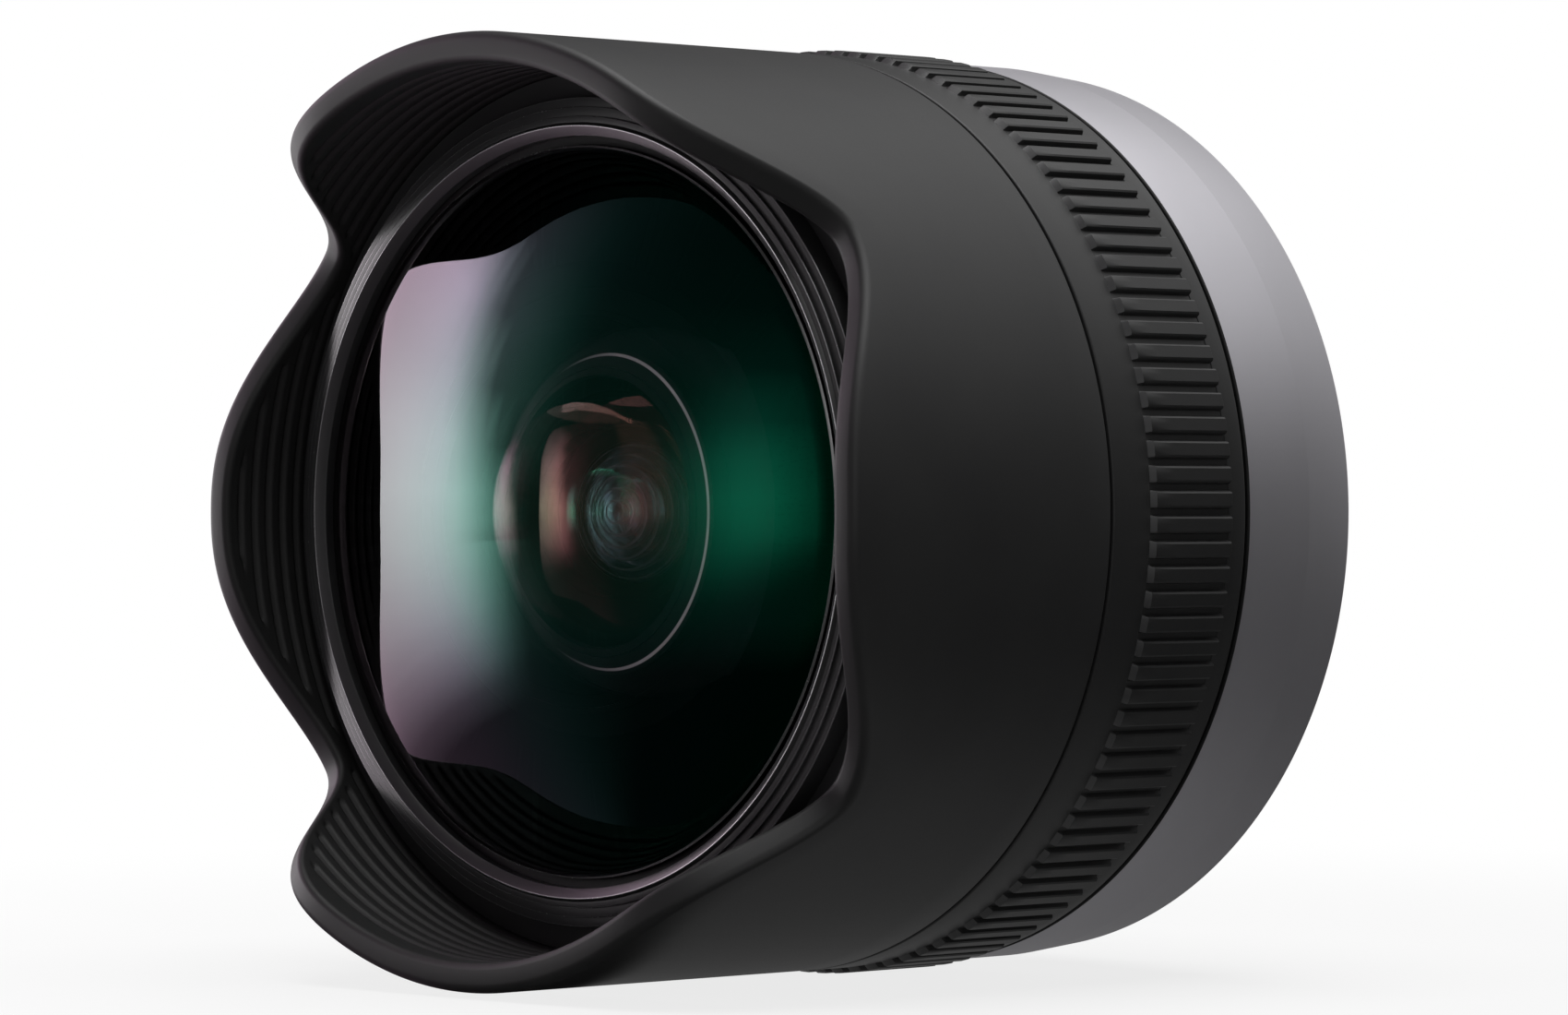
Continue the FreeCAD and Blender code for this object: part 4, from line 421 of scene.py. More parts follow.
def black_with_painted_highlight(name, radius, width):
    """Matt black with a painted highlight: a pale line at a radius, only on the near side, that
    stands in for light caught by an edge.
    """
    material, tree, shader = new_material(name)
    link = tree.links.new
    place_node = add_node(tree, "ShaderNodeTexCoord")
    grain = add_node(tree, "ShaderNodeTexNoise", Scale=6000.0, Detail=3.0)
    relief = add_node(tree, "ShaderNodeBump", Strength=0.1, Distance=GRAIN_DEPTH * MM)
    apart = add_node(tree, "ShaderNodeMath", operation="SUBTRACT")
    apart.inputs[1].default_value = radius
    off = add_node(tree, "ShaderNodeMath", operation="ABSOLUTE")
    axes = add_node(tree, "ShaderNodeSeparateXYZ")
    both = add_node(tree, "ShaderNodeMath", operation="MULTIPLY")
    # The ramp's pale end is the colour of the painted highlight.
    colours = add_node(tree, "ShaderNodeValToRGB")
    colours.color_ramp.elements[0].color = (0.0025, 0.0025, 0.0026, 1.0)
    colours.color_ramp.elements[1].color = (0.9, 0.9, 0.9, 1.0)
    shader.inputs["Roughness"].default_value = 0.6
    shader.inputs["Specular IOR Level"].default_value = 0.25
    link(place_node.outputs["Object"], grain.inputs["Vector"])
    link(grain.outputs["Fac"], relief.inputs["Height"])
    link(relief.outputs["Normal"], shader.inputs["Normal"])
    link(place_node.outputs["Object"], axes.inputs["Vector"])
    link(axis_distance(tree, place_node), apart.inputs[0])
    link(apart.outputs["Value"], off.inputs[0])
    link(soft_range(tree, off.outputs["Value"], width, width / 2), both.inputs[0])
    # The painted highlight fades out towards the far side.
    link(soft_range(tree, axes.outputs["X"], -4 * MM, 6 * MM), both.inputs[1])
    link(both.outputs["Value"], colours.inputs["Fac"])
    link(colours.outputs["Color"], shader.inputs["Base Color"])
    return material


def glass_with_painted_rings(name, pitch):
    """Coated glass with pale rings painted on it: painted highlights that stand in for the lit
    edges of the rings behind it.
    """
    material, tree, shader = new_material(name)
    shader.inputs["Transmission Weight"].default_value = 1.0
    shader.inputs["Roughness"].default_value = 0.02
    shader.inputs["IOR"].default_value = 1.7
    shader.inputs["Specular Tint"].default_value = (0.4, 0.9, 0.85, 1.0)
    link = tree.links.new
    place_node = add_node(tree, "ShaderNodeTexCoord")
    turns = add_node(tree, "ShaderNodeMath", operation="DIVIDE")
    turns.inputs[1].default_value = pitch
    part = add_node(tree, "ShaderNodeMath", operation="FRACT")
    # The pale shader is the painted ring highlight, mixed in on part of each pitch.
    pale = add_node(tree, "ShaderNodeBsdfPrincipled", Roughness=0.35)
    pale.inputs["Base Color"].default_value = (0.5, 0.56, 0.56, 1.0)
    blend = add_node(tree, "ShaderNodeMixShader")
    link(axis_distance(tree, place_node), turns.inputs[0])
    link(turns.outputs["Value"], part.inputs[0])
    link(soft_range(tree, part.outputs["Value"], 0.72, 0.88, 0.8), blend.inputs["Fac"])
    link(shader.outputs["BSDF"], blend.inputs[1])
    link(pale.outputs["BSDF"], blend.inputs[2])
    show(tree, blend.outputs["Shader"])
    return material


SLOT_FINISH = {
    "satin_black": satin_black, "matt_black": inner_black, "grip_black": grip_black,
    "graphite": graphite, "black_plastic": inner_black, "coated_glass": inner_glass,
    "chrome": chrome, "steel": steel, "dark_steel": blade_steel, "brass": brass,
    "gold_contact": gold, "red_dot": red_paint, "board_green": board_green,
    "chip_black": inner_black, "ribbon_amber": film_amber, "slide_white": slide_white}

for row in frame["record"]["subparts"]:
    dress(NODES[row["node"]], SLOT_FINISH[row["material_slot"]])
# The third glass carries the painted ring highlights.
dress(NODES["third_element"], glass_with_painted_rings("glass_with_painted_rings", PAINTED_RING_PITCH * MM))
# The front cell's black carries a painted highlight, a pale arc on the near side.
dress(NODES["front_cell"],
      black_with_painted_highlight("cell_black_painted_highlight", CELL_HIGHLIGHT_RADIUS * MM, CELL_HIGHLIGHT_WIDTH * MM))


# Front barrel with its petal hood

def baffle_radius(station, rim):
    """The hood's inner radius: narrow grooves below a plain margin that follows the rim."""
    share = (station - CHANNEL_FLOOR) / BAFFLE_PITCH % 1.0
    groove = max(0.0, 1 - abs(share - 0.5) / BAFFLE_HALF_SHARE)
    run_out = smooth_step((rim - LIP_MARGIN - station) / BAFFLE_RUN_OUT)
    return HOOD_INNER + BAFFLE_DEPTH * smooth_step(groove) * run_out


def arc_points(centre_radius, centre_station, size, first, last, pieces=6):
    """Points of an arc in a section, from one direction to another in degrees."""
    turns = [math.radians(first + (last - first) * k / pieces) for k in range(pieces + 1)]
    return [(centre_radius + size * math.cos(t), centre_station + size * math.sin(t))
            for t in turns]


def barrel_section(degrees):
    """The barrel's closed section at an angle, always with the same number of points."""
    rim = rim_station(degrees)
    bore = BARREL_RADIUS - BARREL_WALL
    ledge_rear = CELL_REAR - LEDGE_THICK
    section = [(bore, BARREL_REAR)]
    section += arc_points(BARREL_RADIUS - EDGE_ROUND, BARREL_REAR + EDGE_ROUND, EDGE_ROUND,
                          -90, 0, 3)
    body_top = rim - LIP_OUTER_ROUND
    section += [(BARREL_RADIUS, BARREL_REAR + (body_top - BARREL_REAR) * k / 8)
                for k in range(1, 8)]
    section += arc_points(BARREL_RADIUS - LIP_OUTER_ROUND, body_top, LIP_OUTER_ROUND, 0, 90)
    section += arc_points(HOOD_INNER + LIP_INNER_ROUND, rim - LIP_INNER_ROUND, LIP_INNER_ROUND,
                          90, 180)
    limit = rim - LIP_INNER_ROUND - LIP_CLEAR
    steps = 8 * math.ceil((HOOD_TIP - CHANNEL_FLOOR) / BAFFLE_PITCH)
    for k in range(steps, 0, -1):
        station = min(CHANNEL_FLOOR + BAFFLE_PITCH * k / 8, limit)
        section.append((baffle_radius(station, rim), station))
    section += [(HOOD_INNER, CHANNEL_FLOOR), (HOOD_INNER, CELL_REAR),
                (bore - LEDGE_WIDTH, CELL_REAR), (bore - LEDGE_WIDTH, ledge_rear),
                (bore, ledge_rear)]
    return section


def front_barrel():
    """The barrel and its petals in one piece, matt black inside the hood."""
    columns = [barrel_section(360 * k / COLUMNS) for k in range(COLUMNS)]
    rows = []
    for row in zip(*columns):
        rows.append([place(r, 360 * k / COLUMNS, s) for k, (r, s) in enumerate(row)])
    barrel = fit(skin("barrel_with_hood", rows, True, 40.0), "root", "front_barrel")
    weld = barrel.modifiers.new("weld", "WELD")
    weld.merge_threshold = 0.002 * MM
    dress(barrel, satin_black)
    barrel.data.materials.append(hood_black)
    for polygon in barrel.data.polygons:
        middle = polygon.center / MM
        radius = math.hypot(middle.x, middle.z)
        if radius < HOOD_INNER + BAFFLE_DEPTH + 0.02 and -middle.y > CELL_REAR:
            polygon.material_index = 1


front_barrel()

# Focus ring: a plain sleeve and the ribbed band on it

SLEEVE_BORE = BARREL_RADIUS - RING_WALL
GRIP_SEAT = BARREL_RADIUS - GRIP_SEAT_DEPTH
sleeve = turned("focus_ring_sleeve", rounded([
    (SLEEVE_BORE, rear_of("focus_sleeve"), 0), (SLEEVE_NECK, rear_of("focus_sleeve"), 0),
    (SLEEVE_NECK, RING_REAR, 0), (BARREL_RADIUS, RING_REAR, EDGE_ROUND),
    (BARREL_RADIUS, GRIP_REAR, SMALL_ROUND), (GRIP_SEAT, GRIP_REAR, 0),
    (GRIP_SEAT, GRIP_FRONT, 0), (BARREL_RADIUS, GRIP_FRONT, SMALL_ROUND),
    (BARREL_RADIUS, RING_FRONT, EDGE_ROUND), (SLEEVE_BORE, RING_FRONT, 0)]),
    "focus_ring", "focus_sleeve")
dress(sleeve, grip_black)


def grip_rows():
    """Rows across the band, each with every rib's foot, shoulder, top, shoulder and foot."""
    pitch = 360 / RIBS
    floor = GRIP_RADIUS - RIB_HEIGHT
    root, tip = RIB_ROOT_SHARE * pitch / 2, RIB_TOP_SHARE * pitch / 2
    edge = RIB_EDGE_SHARE * pitch
    start = GRIP_REAR + SMALL_ROUND
    ramp = GRIP_FRONT - RIB_RAMP
    stations = [(GRIP_REAR, 0.9)]
    stations += [(start + (ramp - start) * k / 4, 1.0) for k in range(5)]
    stations += [(ramp + RIB_STRIP, 0.95), (GRIP_FRONT - RIB_TOE, 0.04), (GRIP_FRONT, 0.0)]
    rows = [[place(GRIP_SEAT, pitch * k / 8, GRIP_REAR) for k in range(RIBS * 8)]]
    for station, share in stations:
        row = []
        top = floor + RIB_HEIGHT * share
        side = floor + (RIB_HEIGHT - RIB_SHOULDER) * share
        for rib in range(RIBS):
            centre = (rib + 0.5) * pitch
            for offset, radius in (
                    (-root, floor), (-tip - edge / 4, side), (-tip + edge, top), (0.0, top),
                    (tip - edge, top), (tip + edge / 4, side), (root, floor), (pitch / 2, floor)):
                row.append(place(radius, centre + offset, station))
        rows.append(row)
    rows.append([place(GRIP_SEAT, pitch * k / 8, GRIP_FRONT) for k in range(RIBS * 8)])
    return rows


grip = fit(skin("ribbed_grip", grip_rows(), True, 30.0), "focus_ring", "focus_grip")
dress(grip, grip_black)
grip.data.materials.append(rib_end_painted_light)
grip.data.materials.append(painted_glint_edge)
# Each rib's forward-facing ramp takes the lighter grey, painted light, and a thin strip at the
# ramp's top takes the edge finish, a painted glint.
for polygon in grip.data.polygons:
    middle = polygon.center / MM
    along_ramp = -middle.y - (GRIP_FRONT - RIB_RAMP)
    raised = math.hypot(middle.x, middle.z) > GRIP_RADIUS - RIB_HEIGHT + 0.04
    if along_ramp > 0 and raised and polygon.normal.y < -0.3:
        polygon.material_index = 2 if along_ramp < RIB_STRIP else 1

# Rear barrel

SHELL_INNER = BARREL_RADIUS - SHELL_WALL
rear_shell = turned("rear_shell", rounded([
    (BARREL_RADIUS - SHELL_TAPER, SHELL_REAR, 0.12),
    (BARREL_RADIUS - 0.02, SHELL_REAR + SHELL_CREASE, 0.5),
    (BARREL_RADIUS, SHELL_FRONT, EDGE_ROUND), (SHELL_INNER, SHELL_FRONT, 0),
    (SHELL_INNER, SHELL_REAR + SHELL_WALL, 0), (REAR_BORE, SHELL_REAR + SHELL_WALL, 0),
    (REAR_BORE, SHELL_REAR, 0)], 5), "root", "rear_barrel")
dress(rear_shell, graphite)
rear_shell.data.materials.append(inner_black)
# The front face and the rounded front edge take the matt black: painted shade, a dark line at the
# gap to the focus ring.
for polygon in rear_shell.data.polygons:
    if -polygon.center.y / MM > SHELL_FRONT - EDGE_ROUND:
        polygon.material_index = 1

# Stepped bezel round the front glass

CELL_RADIUS = HOOD_INNER - CHANNEL_WIDTH
GLASS1_RADIUS = radius_of("front_element")
BEZEL_BORE = GLASS1_RADIUS - BEZEL_OVERHANG
RIDGE_RADIUS = BEZEL_BORE + BEZEL_LIP
RIDGE_TOP = CELL_FRONT + BEZEL_HEIGHT
bezel = turned("stepped_bezel", rounded([
    (CELL_RADIUS + FIT_GAP, CHANNEL_FLOOR - BEZEL_FLOOR_THICK, 0),
    (HOOD_INNER - FIT_GAP, CHANNEL_FLOOR - BEZEL_FLOOR_THICK, 0),
    (HOOD_INNER - FIT_GAP, CHANNEL_FLOOR, 0),
    (RIDGE_RADIUS + 3.2 * STEP_WIDTH, CHANNEL_FLOOR, 0),
    (RIDGE_RADIUS + 3 * STEP_WIDTH, RIDGE_TOP - 3 * STEP_DROP, 0.06),
    (RIDGE_RADIUS + 2 * STEP_WIDTH, RIDGE_TOP - 3 * STEP_DROP, 0),
    (RIDGE_RADIUS + 2 * STEP_WIDTH, RIDGE_TOP - 2 * STEP_DROP, 0.06),
    (RIDGE_RADIUS + STEP_WIDTH, RIDGE_TOP - 2 * STEP_DROP, 0),
    (RIDGE_RADIUS + STEP_WIDTH, RIDGE_TOP - STEP_DROP, 0.06),
    (RIDGE_RADIUS + STEP_WIDTH / 3, RIDGE_TOP - STEP_DROP, 0),
    (RIDGE_RADIUS, RIDGE_TOP, 0.07),
    (BEZEL_BORE, RIDGE_TOP - 2 * STEP_DROP, SMALL_ROUND), (BEZEL_BORE, CELL_FRONT, 0),
    (CELL_RADIUS + FIT_GAP, CELL_FRONT, 0)], 3), "root", "front_bezel", sharp_degrees=50.0)
dress(bezel, bezel_black)
bezel.data.materials.append(painted_glint_edge)
bezel_corners = [(RIDGE_RADIUS + k * STEP_WIDTH, RIDGE_TOP - k * STEP_DROP) for k in range(4)]
# Faces near the step corners and the ridge take the edge finish, a painted highlight along each.
for polygon in bezel.data.polygons:
    middle = polygon.center / MM
    spot = Vector((math.hypot(middle.x, middle.z), -middle.y))
    if min((spot - Vector(corner)).length for corner in bezel_corners) < BEZEL_GLINT_REACH:
        polygon.material_index = 1


# Glass elements at full smoothness

def dome(rim_radius, rim_station_mm, curve, pieces=40):
    """A face of an element from its rim to the axis, bulging forward."""
    centre = rim_station_mm - math.sqrt(curve ** 2 - rim_radius ** 2)
    half = math.asin(rim_radius / curve)
    angles = [half * (1 - k / pieces) for k in range(pieces + 1)]
    return [(curve * math.sin(a), centre + curve * math.cos(a)) for a in angles]


def element(name, node, edge, faces, coats, neck=0.0):
    """A lens element on its node's rim. Each face is its clear radius and curve, front first.

    A neck lifts the front face off the rim's ledge.
    """
    (front_clear, front_curve), (rear_clear, rear_curve) = faces
    radius = radius_of(node)
    sag = front_curve - math.sqrt(front_curve ** 2 - front_clear ** 2)
    front_rim = front_of(node) - sag - neck
    seat = front_rim - edge
    front_arc = dome(front_clear, front_rim + neck, front_curve)
    rear_arc = dome(rear_clear, seat, rear_curve)
    ledge = [(front_clear, front_rim)] if neck else []
    if neck:
        front_arc[0] = (front_clear, front_arc[0][1] - EDGE_BEVEL)
        front_arc.insert(1, (front_clear - EDGE_BEVEL, front_rim + neck))
    section = list(reversed(front_arc)) + ledge + [(radius, front_rim), (radius, seat)] + rear_arc
    section = [(r if r > 1e-6 else 0.0, s) for r, s in section]
    piece = turned(name, section, "root", node, GLASS_COLUMNS, False, 25.0)
    for material in (*coats, edge_ink, painted_glint_edge):
        piece.data.materials.append(material)
    bands = len(front_arc) - 1
    inked = 3 + len(ledge)
    for polygon in piece.data.polygons:
        band = polygon.index // GLASS_COLUMNS
        polygon.material_index = 0 if band < bands else 1 if band >= bands + inked else 2
        # The bevel at the dome's front rim takes the edge finish, a painted highlight line round
        # the glass.
        if neck and band == bands - 1:
            polygon.material_index = 3


element("front_dome", "front_element", GLASS1_EDGE,
        ((GLASS1_RADIUS - GLASS1_LEDGE_WIDTH, 50.0), (14.6, 16.0)),
        (green_coat, brown_coat), neck=GLASS1_NECK)
element("second_glass", "second_element", GLASS2_EDGE, ((10.1, 28.0), (8.8, 10.2)),
        (amber_coat, deep_green_coat))


# Stage: floor, studio light, world and camera

FLOOR_STATION = 23.24
CAMERA_DISTANCE = 411.2
CAMERA_AZIMUTH = 45.04
CAMERA_RISE = 0.29
FOCAL_LENGTH = 144.0


def flat_sheet(name, half_width, half_height):
    """A level sheet round its own middle."""
    corners = [(-half_width, -half_height, 0), (half_width, -half_height, 0),
               (half_width, half_height, 0), (-half_width, half_height, 0)]
    mesh = bpy.data.meshes.new(name)
    mesh.from_pydata(corners, [], [(0, 1, 2, 3)])
    return new_object(name, mesh)


def turn_to(target, direction):
    """Turn a lamp, panel or camera so that it faces a direction."""
    target.rotation_euler = direction.to_track_quat("-Z", "Y").to_euler()


def panel(name, width, height, centre, aim, strength, fade):
    """A soft box that lights the object and isn't seen itself.

    It fades towards its left, right, low and high edges.
    """
    half_width, half_height = width / 2, height / 2
    box = flat_sheet(name, half_width, half_height)
    box.location = centre
    turn_to(box, Vector(aim) - Vector(centre))
    material, tree, shader = new_material(name)
    tree.nodes.remove(shader)
    spot = add_node(tree, "ShaderNodeTexCoord")
    apart = add_node(tree, "ShaderNodeSeparateXYZ")
    tree.links.new(spot.outputs["Object"], apart.inputs["Vector"])
    glow = add_node(tree, "ShaderNodeEmission")
    power = add_node(tree, "ShaderNodeMath", operation="MULTIPLY")
    for axis, half, edges in (("X", half_width, fade[:2]), ("Y", half_height, fade[2:])):
        product = add_node(tree, "ShaderNodeMath", operation="MULTIPLY")
        for k, (start, width_of_fade) in enumerate(((-half, edges[0]), (half, -edges[1]))):
            edge = soft_range(tree, apart.outputs[axis], start, start + width_of_fade)
            tree.links.new(edge, product.inputs[k])
        tree.links.new(product.outputs["Value"], power.inputs["XY".index(axis)])
    level = add_node(tree, "ShaderNodeMath", operation="MULTIPLY")
    level.inputs[1].default_value = strength
    tree.links.new(power.outputs["Value"], level.inputs[0])
    tree.links.new(level.outputs["Value"], glow.inputs["Strength"])
    show(tree, glow.outputs["Emission"])
    box.data.materials.append(material)
    box.visible_camera = False
    box.visible_glossy = False
    box.visible_transmission = False


def area_light(name, size, centre, aim, radiance):
    """A square lamp of a given radiance."""
    lamp = bpy.data.lights.new(name, "AREA")
    lamp.size = size
    lamp.energy = radiance * math.pi * size * size
    made = new_object(name, lamp)
    made.location = centre
    turn_to(made, Vector(aim) - Vector(centre))


LENS_MIDDLE = (0.0, -FLOOR_STATION * MM, 0.0)
area_light("top_softbox", 0.5, (0.04, -0.02, 0.55), LENS_MIDDLE, 4.2)
panel("left_softbox", 0.56, 0.54, (-0.44, -0.11, 0.07), (0.0, LENS_MIDDLE[1], 0.07), 4.2,
      (0.02, 0.2, 0.25, 0.32))

# A tent of cards round the lens, which only gloss and glass show. An azimuth is 0 degrees
# straight ahead and 90 on the near side, and a lift goes up from eye level.

TENT_RADIUS = 0.55
TENT_HEIGHT = 0.9
TENT_CENTRE = (0.0, -0.045)
TENT_START = -111
TENT_END = 250
TENT_STEP = 3
BACK_START = 95
OPEN_FLOOR_START = 235
SOFTBOX_GLOW = 6.1
DARK_GLOW = 0.1
SPOT_GLOW = 1.35
RIGHT_GLOW = 0.9
BACK_DARK = 0.03
REAR_GLOW = 0.8
BACK_GLOW = 1.35
FLOOR_GLOW = 0.27
SPOT_SIZE = 10
SPOT_AZIMUTH = -1
SPOT_LIFT = 2

# Each card's edges as the angle where they start and the reach to their full effect

SOFTBOX_SIDE, SOFTBOX_HALO = (-43, -17), (-33, -22)
SOFTBOX_FADE, SOFTBOX_END = (-60, -34), (-113, 10)
SOFTBOX_LOW, SOFTBOX_MIDDLE, SOFTBOX_TOP = (-30, 38), (2, 12), (16, 22)
RIGHT_START, RIGHT_END, RIGHT_LOW = (34, 10), (82, -12), (-10, 10)
DARK_LOW, DARK_LOW_SIDE = (-18, -14), (-50, 40)
DARK_HIGH, DARK_HIGH_SIDE = (20, 14), (-55, 40)
BACK_LOW, BACK_END, BACK_FLOOR, OPEN_FLOOR = (9, 32), (225, -45), (-18, -22), (-6, -6)
REAR_SIDE, REAR_TOP = (22, -12), (26, -14)
VIOLET_LIFT, VIOLET_END = (0, 35), (30, -20)


def rise(value, start, reach):
    """0 at the start and 1 a reach further, which may run down."""
    return smooth_step((value - start) / reach)


def front_card(azimuth, lift, on_floor):
    """The softbox as the front glass shows it, fading up, down and towards its ends."""
    slant = abs(lift) * 0.55 * (not on_floor)
    box = rise(azimuth + slant, *SOFTBOX_SIDE)
    box = max(box, 0.11 * rise(azimuth, *SOFTBOX_HALO) * smooth_step(abs(lift) / 12))
    box *= 1 - 0.62 * rise(azimuth, *SOFTBOX_FADE)
    box *= rise(lift, *SOFTBOX_LOW) * (1 - 0.3 * rise(lift, *SOFTBOX_MIDDLE))
    return box * (1 - rise(lift, *SOFTBOX_TOP)) * rise(azimuth, *SOFTBOX_END)


def tent_shade(azimuth, lift, on_floor):
    """How much the tent glows and covers in a direction."""
    if azimuth > BACK_START:
        return back_shade(azimuth, lift, on_floor)
    right = rise(azimuth, *RIGHT_START) * rise(azimuth, *RIGHT_END) * rise(lift, *RIGHT_LOW)
    spot = math.exp(-(math.hypot(azimuth - SPOT_AZIMUTH, lift - SPOT_LIFT) / SPOT_SIZE) ** 2)
    low = rise(lift, *DARK_LOW) * rise(azimuth, *DARK_LOW_SIDE)
    high = rise(lift, *DARK_HIGH) * rise(azimuth, *DARK_HIGH_SIDE)
    shine = DARK_GLOW * (1 - 0.8 * low) * (1 - 0.5 * high) + SPOT_GLOW * spot
    return shine + SOFTBOX_GLOW * front_card(azimuth, lift, on_floor) + RIGHT_GLOW * right, 1.0


def back_shade(azimuth, lift, on_floor):
    """The same for the cards behind the lens, which the barrel's side shows."""
    if on_floor:
        shine = BACK_DARK + FLOOR_GLOW * rise(lift, *BACK_FLOOR)
        return shine, rise(lift, *OPEN_FLOOR) if azimuth > OPEN_FLOOR_START else 1.0
    shine = BACK_DARK + BACK_GLOW * rise(lift, *BACK_LOW) * rise(azimuth, *BACK_END)
    shine += REAR_GLOW * rise(abs(azimuth - 180), *REAR_SIDE) * rise(lift, *REAR_TOP)
    return shine, 1.0


def tent_colour(azimuth, lift, on_floor):
    """The tent's glow as a colour, a little violet away from eye level, and its cover."""
    shine, cover = tent_shade(azimuth, lift, on_floor)
    violet = rise(abs(lift), *VIOLET_LIFT) * rise(azimuth, *VIOLET_END)
    return (shine * (1 + 0.55 * violet), shine, shine * (1 + 0.4 * violet), 1.0), cover


def light_tent():
    """A round wall and a floor sheet that hold their glow and cover at each point."""
    azimuths = list(range(TENT_START, TENT_END, TENT_STEP))
    rises = [0.0, 0.02, 0.05, 0.1, 0.16, 0.24, 0.34, 0.46, 0.6, 0.75, TENT_HEIGHT]
    reaches = [0.001, 0.015, 0.03, 0.04, 0.05, 0.065, 0.085, 0.11, 0.15, 0.2, 0.3, 0.42,
               TENT_RADIUS]
    base = -GRIP_RADIUS * MM + 0.0001
    points, faces, shines, covers = [], [], [], []
    for table, on_floor in ((reaches, True), (rises, False)):
        first = len(points)
        for value in table:
            reach = value if on_floor else TENT_RADIUS
            height = base if on_floor else base + value
            lift = math.degrees(math.atan2(height, reach))
            for turn in azimuths:
                angle = math.radians(turn)
                points.append((TENT_CENTRE[0] + reach * math.sin(angle),
                               TENT_CENTRE[1] - reach * math.cos(angle), height))
                colour, cover = tent_colour(turn, lift, on_floor)
                shines.extend(colour)
                covers.append(cover)
        for j in range(len(table) - 1):
            for k in range(len(azimuths) - 1):
                corner = first + j * len(azimuths) + k
                above = corner + len(azimuths)
                faces.append((corner, corner + 1, above + 1, above))
    mesh = bpy.data.meshes.new("light_tent")
    mesh.from_pydata(points, [], faces)
    mesh.attributes.new("shine", "FLOAT_COLOR", "POINT").data.foreach_set("color", shines)
    mesh.attributes.new("cover", "FLOAT", "POINT").data.foreach_set("value", covers)
    tent = new_object("light_tent", mesh)
    material, tree, shader = new_material("tent_cards")
    tree.nodes.remove(shader)
    shine_node = add_node(tree, "ShaderNodeAttribute", attribute_name="shine")
    cover_node = add_node(tree, "ShaderNodeAttribute", attribute_name="cover")
    glow = add_node(tree, "ShaderNodeEmission")
    clear = add_node(tree, "ShaderNodeBsdfTransparent")
    blend = add_node(tree, "ShaderNodeMixShader")
    tree.links.new(shine_node.outputs["Color"], glow.inputs["Color"])
    tree.links.new(cover_node.outputs["Fac"], blend.inputs["Fac"])
    tree.links.new(clear.outputs["BSDF"], blend.inputs[1])
    tree.links.new(glow.outputs["Emission"], blend.inputs[2])
    show(tree, blend.outputs["Shader"])
    mesh.materials.append(material)
    tent.visible_camera = False
    tent.visible_diffuse = False
    tent.visible_shadow = False
    tent.visible_volume_scatter = False


light_tent()


def seen_directly(tree):
    """1 for what the camera, gloss and glass see, and 0 for the light on the object."""
    path = add_node(tree, "ShaderNodeLightPath")
    either = add_node(tree, "ShaderNodeMath", operation="MAXIMUM")
    every = add_node(tree, "ShaderNodeMath", operation="MAXIMUM")
    tree.links.new(path.outputs["Is Camera Ray"], either.inputs[0])
    tree.links.new(path.outputs["Is Glossy Ray"], either.inputs[1])
    tree.links.new(either.outputs["Value"], every.inputs[0])
    tree.links.new(path.outputs["Is Transmission Ray"], every.inputs[1])
    return every.outputs["Value"]


FLOOR_SIZE = 6.0
FLOOR_TONE = 0.8
FLOOR_DIFFUSE_TONE = 0.6
SHADOW_ROOM = (0.03, 0.16)


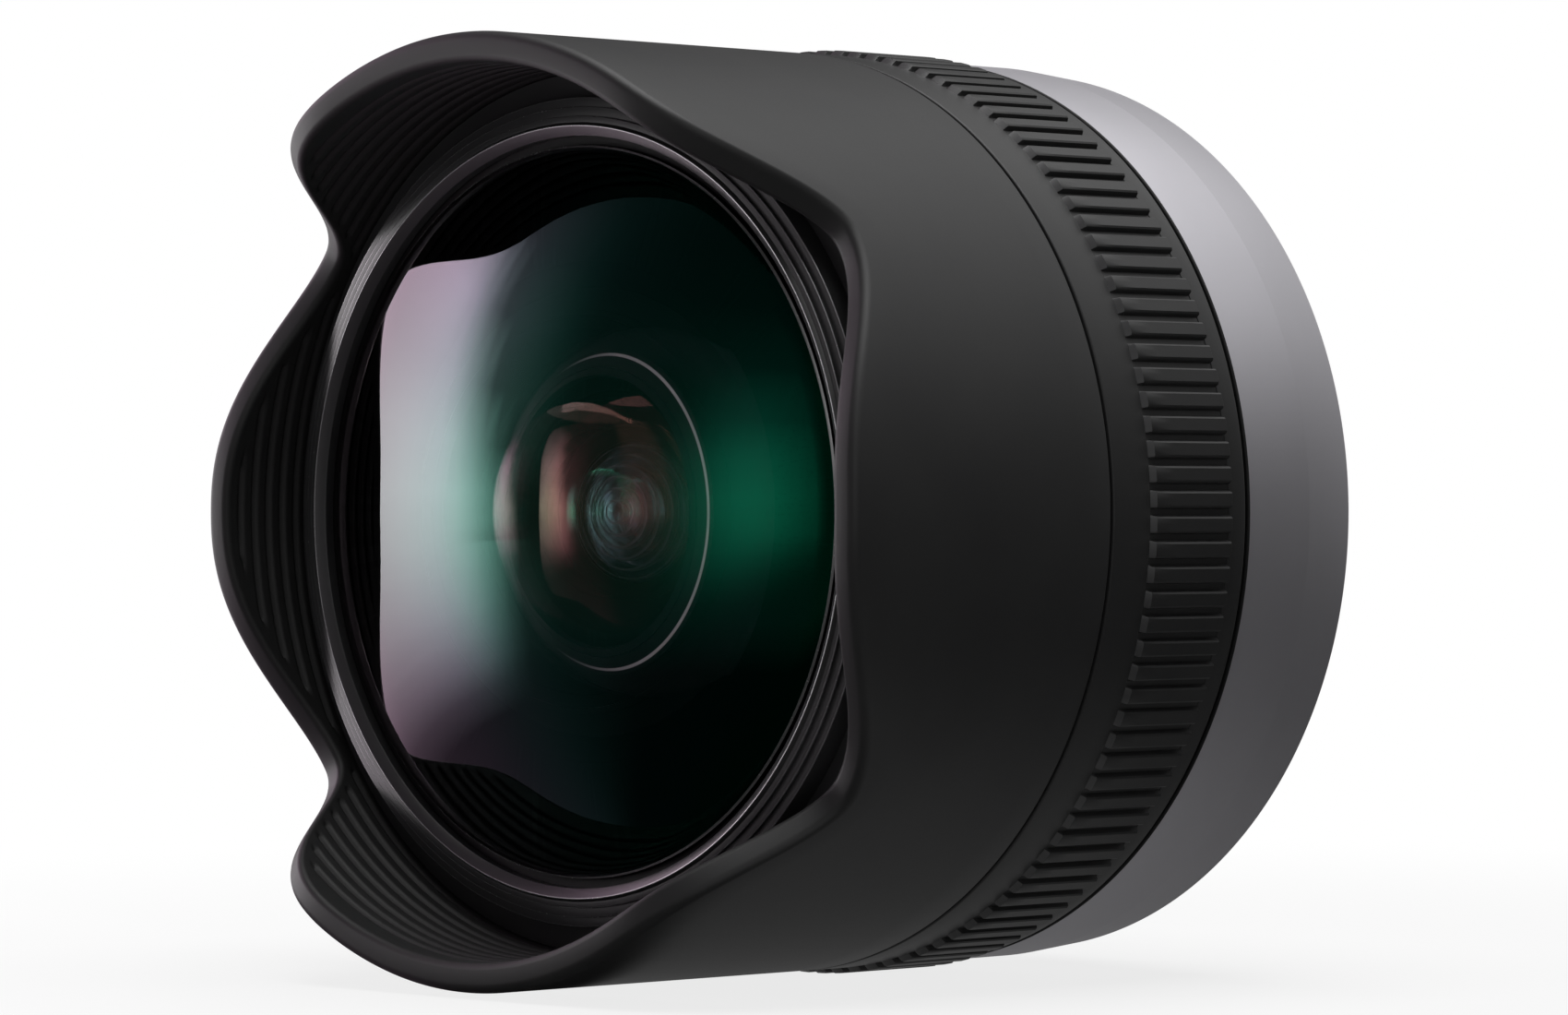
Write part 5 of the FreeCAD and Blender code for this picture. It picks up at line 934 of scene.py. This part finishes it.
def pale_floor():
    """A plain pale floor that shows white far off and keeps the object's shadow near it."""
    floor = flat_sheet("floor", FLOOR_SIZE / 2, FLOOR_SIZE / 2)
    floor.location = (0, 0, -GRIP_RADIUS * MM)
    material, tree, shader = new_material("floor_pale")
    shader.inputs["Roughness"].default_value = 0.8
    tones = add_node(tree, "ShaderNodeValToRGB")
    tones.color_ramp.elements[0].color = (*(FLOOR_DIFFUSE_TONE,) * 3, 1.0)
    tones.color_ramp.elements[1].color = (*(FLOOR_TONE,) * 3, 1.0)
    glow = add_node(tree, "ShaderNodeEmission", Strength=1.0)
    spot = add_node(tree, "ShaderNodeTexCoord")
    far = add_node(tree, "ShaderNodeVectorMath", operation="LENGTH")
    reach = add_node(tree, "ShaderNodeMapRange", interpolation_type="SMOOTHSTEP")
    reach.inputs["From Min"].default_value, reach.inputs["From Max"].default_value = SHADOW_ROOM
    reach.inputs["To Min"].default_value = 0.8
    share = add_node(tree, "ShaderNodeMath", operation="MULTIPLY")
    blend = add_node(tree, "ShaderNodeMixShader")
    seen = seen_directly(tree)
    link = tree.links.new
    link(seen, tones.inputs["Fac"])
    link(tones.outputs["Color"], shader.inputs["Base Color"])
    link(spot.outputs["Object"], far.inputs[0])
    link(far.outputs["Value"], reach.inputs["Value"])
    link(seen, share.inputs[0])
    link(reach.outputs["Result"], share.inputs[1])
    link(share.outputs["Value"], blend.inputs["Fac"])
    link(shader.outputs["BSDF"], blend.inputs[1])
    link(glow.outputs["Emission"], blend.inputs[2])
    show(tree, blend.outputs["Shader"])
    floor.data.materials.append(material)


pale_floor()

world = bpy.data.worlds.new("studio")
bpy.context.scene.world = world
world.use_nodes = True
sky = world.node_tree
for node in list(sky.nodes):
    sky.nodes.remove(node)
room = add_node(sky, "ShaderNodeBackground", Color=(1, 1, 1, 1), Strength=0.04)
white = add_node(sky, "ShaderNodeBackground", Color=(1, 1, 1, 1), Strength=1.0)
choice = add_node(sky, "ShaderNodeMixShader")
out = add_node(sky, "ShaderNodeOutputWorld")
sky.links.new(seen_directly(sky), choice.inputs["Fac"])
sky.links.new(room.outputs["Background"], choice.inputs[1])
sky.links.new(white.outputs["Background"], choice.inputs[2])
sky.links.new(choice.outputs["Shader"], out.inputs["Surface"])

camera_data = bpy.data.cameras.new("camera")
camera_data.lens = FOCAL_LENGTH
camera_data.sensor_width = 36.0
camera_data.clip_start = 0.01
camera = new_object("camera", camera_data)
azimuth = math.radians(CAMERA_AZIMUTH)
away = Vector((math.sin(azimuth), -math.cos(azimuth), 0))
look_at = Vector((0, -FLOOR_STATION, CAMERA_RISE)) * MM
camera.location = look_at + away * CAMERA_DISTANCE * MM
turn_to(camera, -away)
bpy.context.scene.camera = camera
bpy.context.scene.view_settings.view_transform = "Standard"
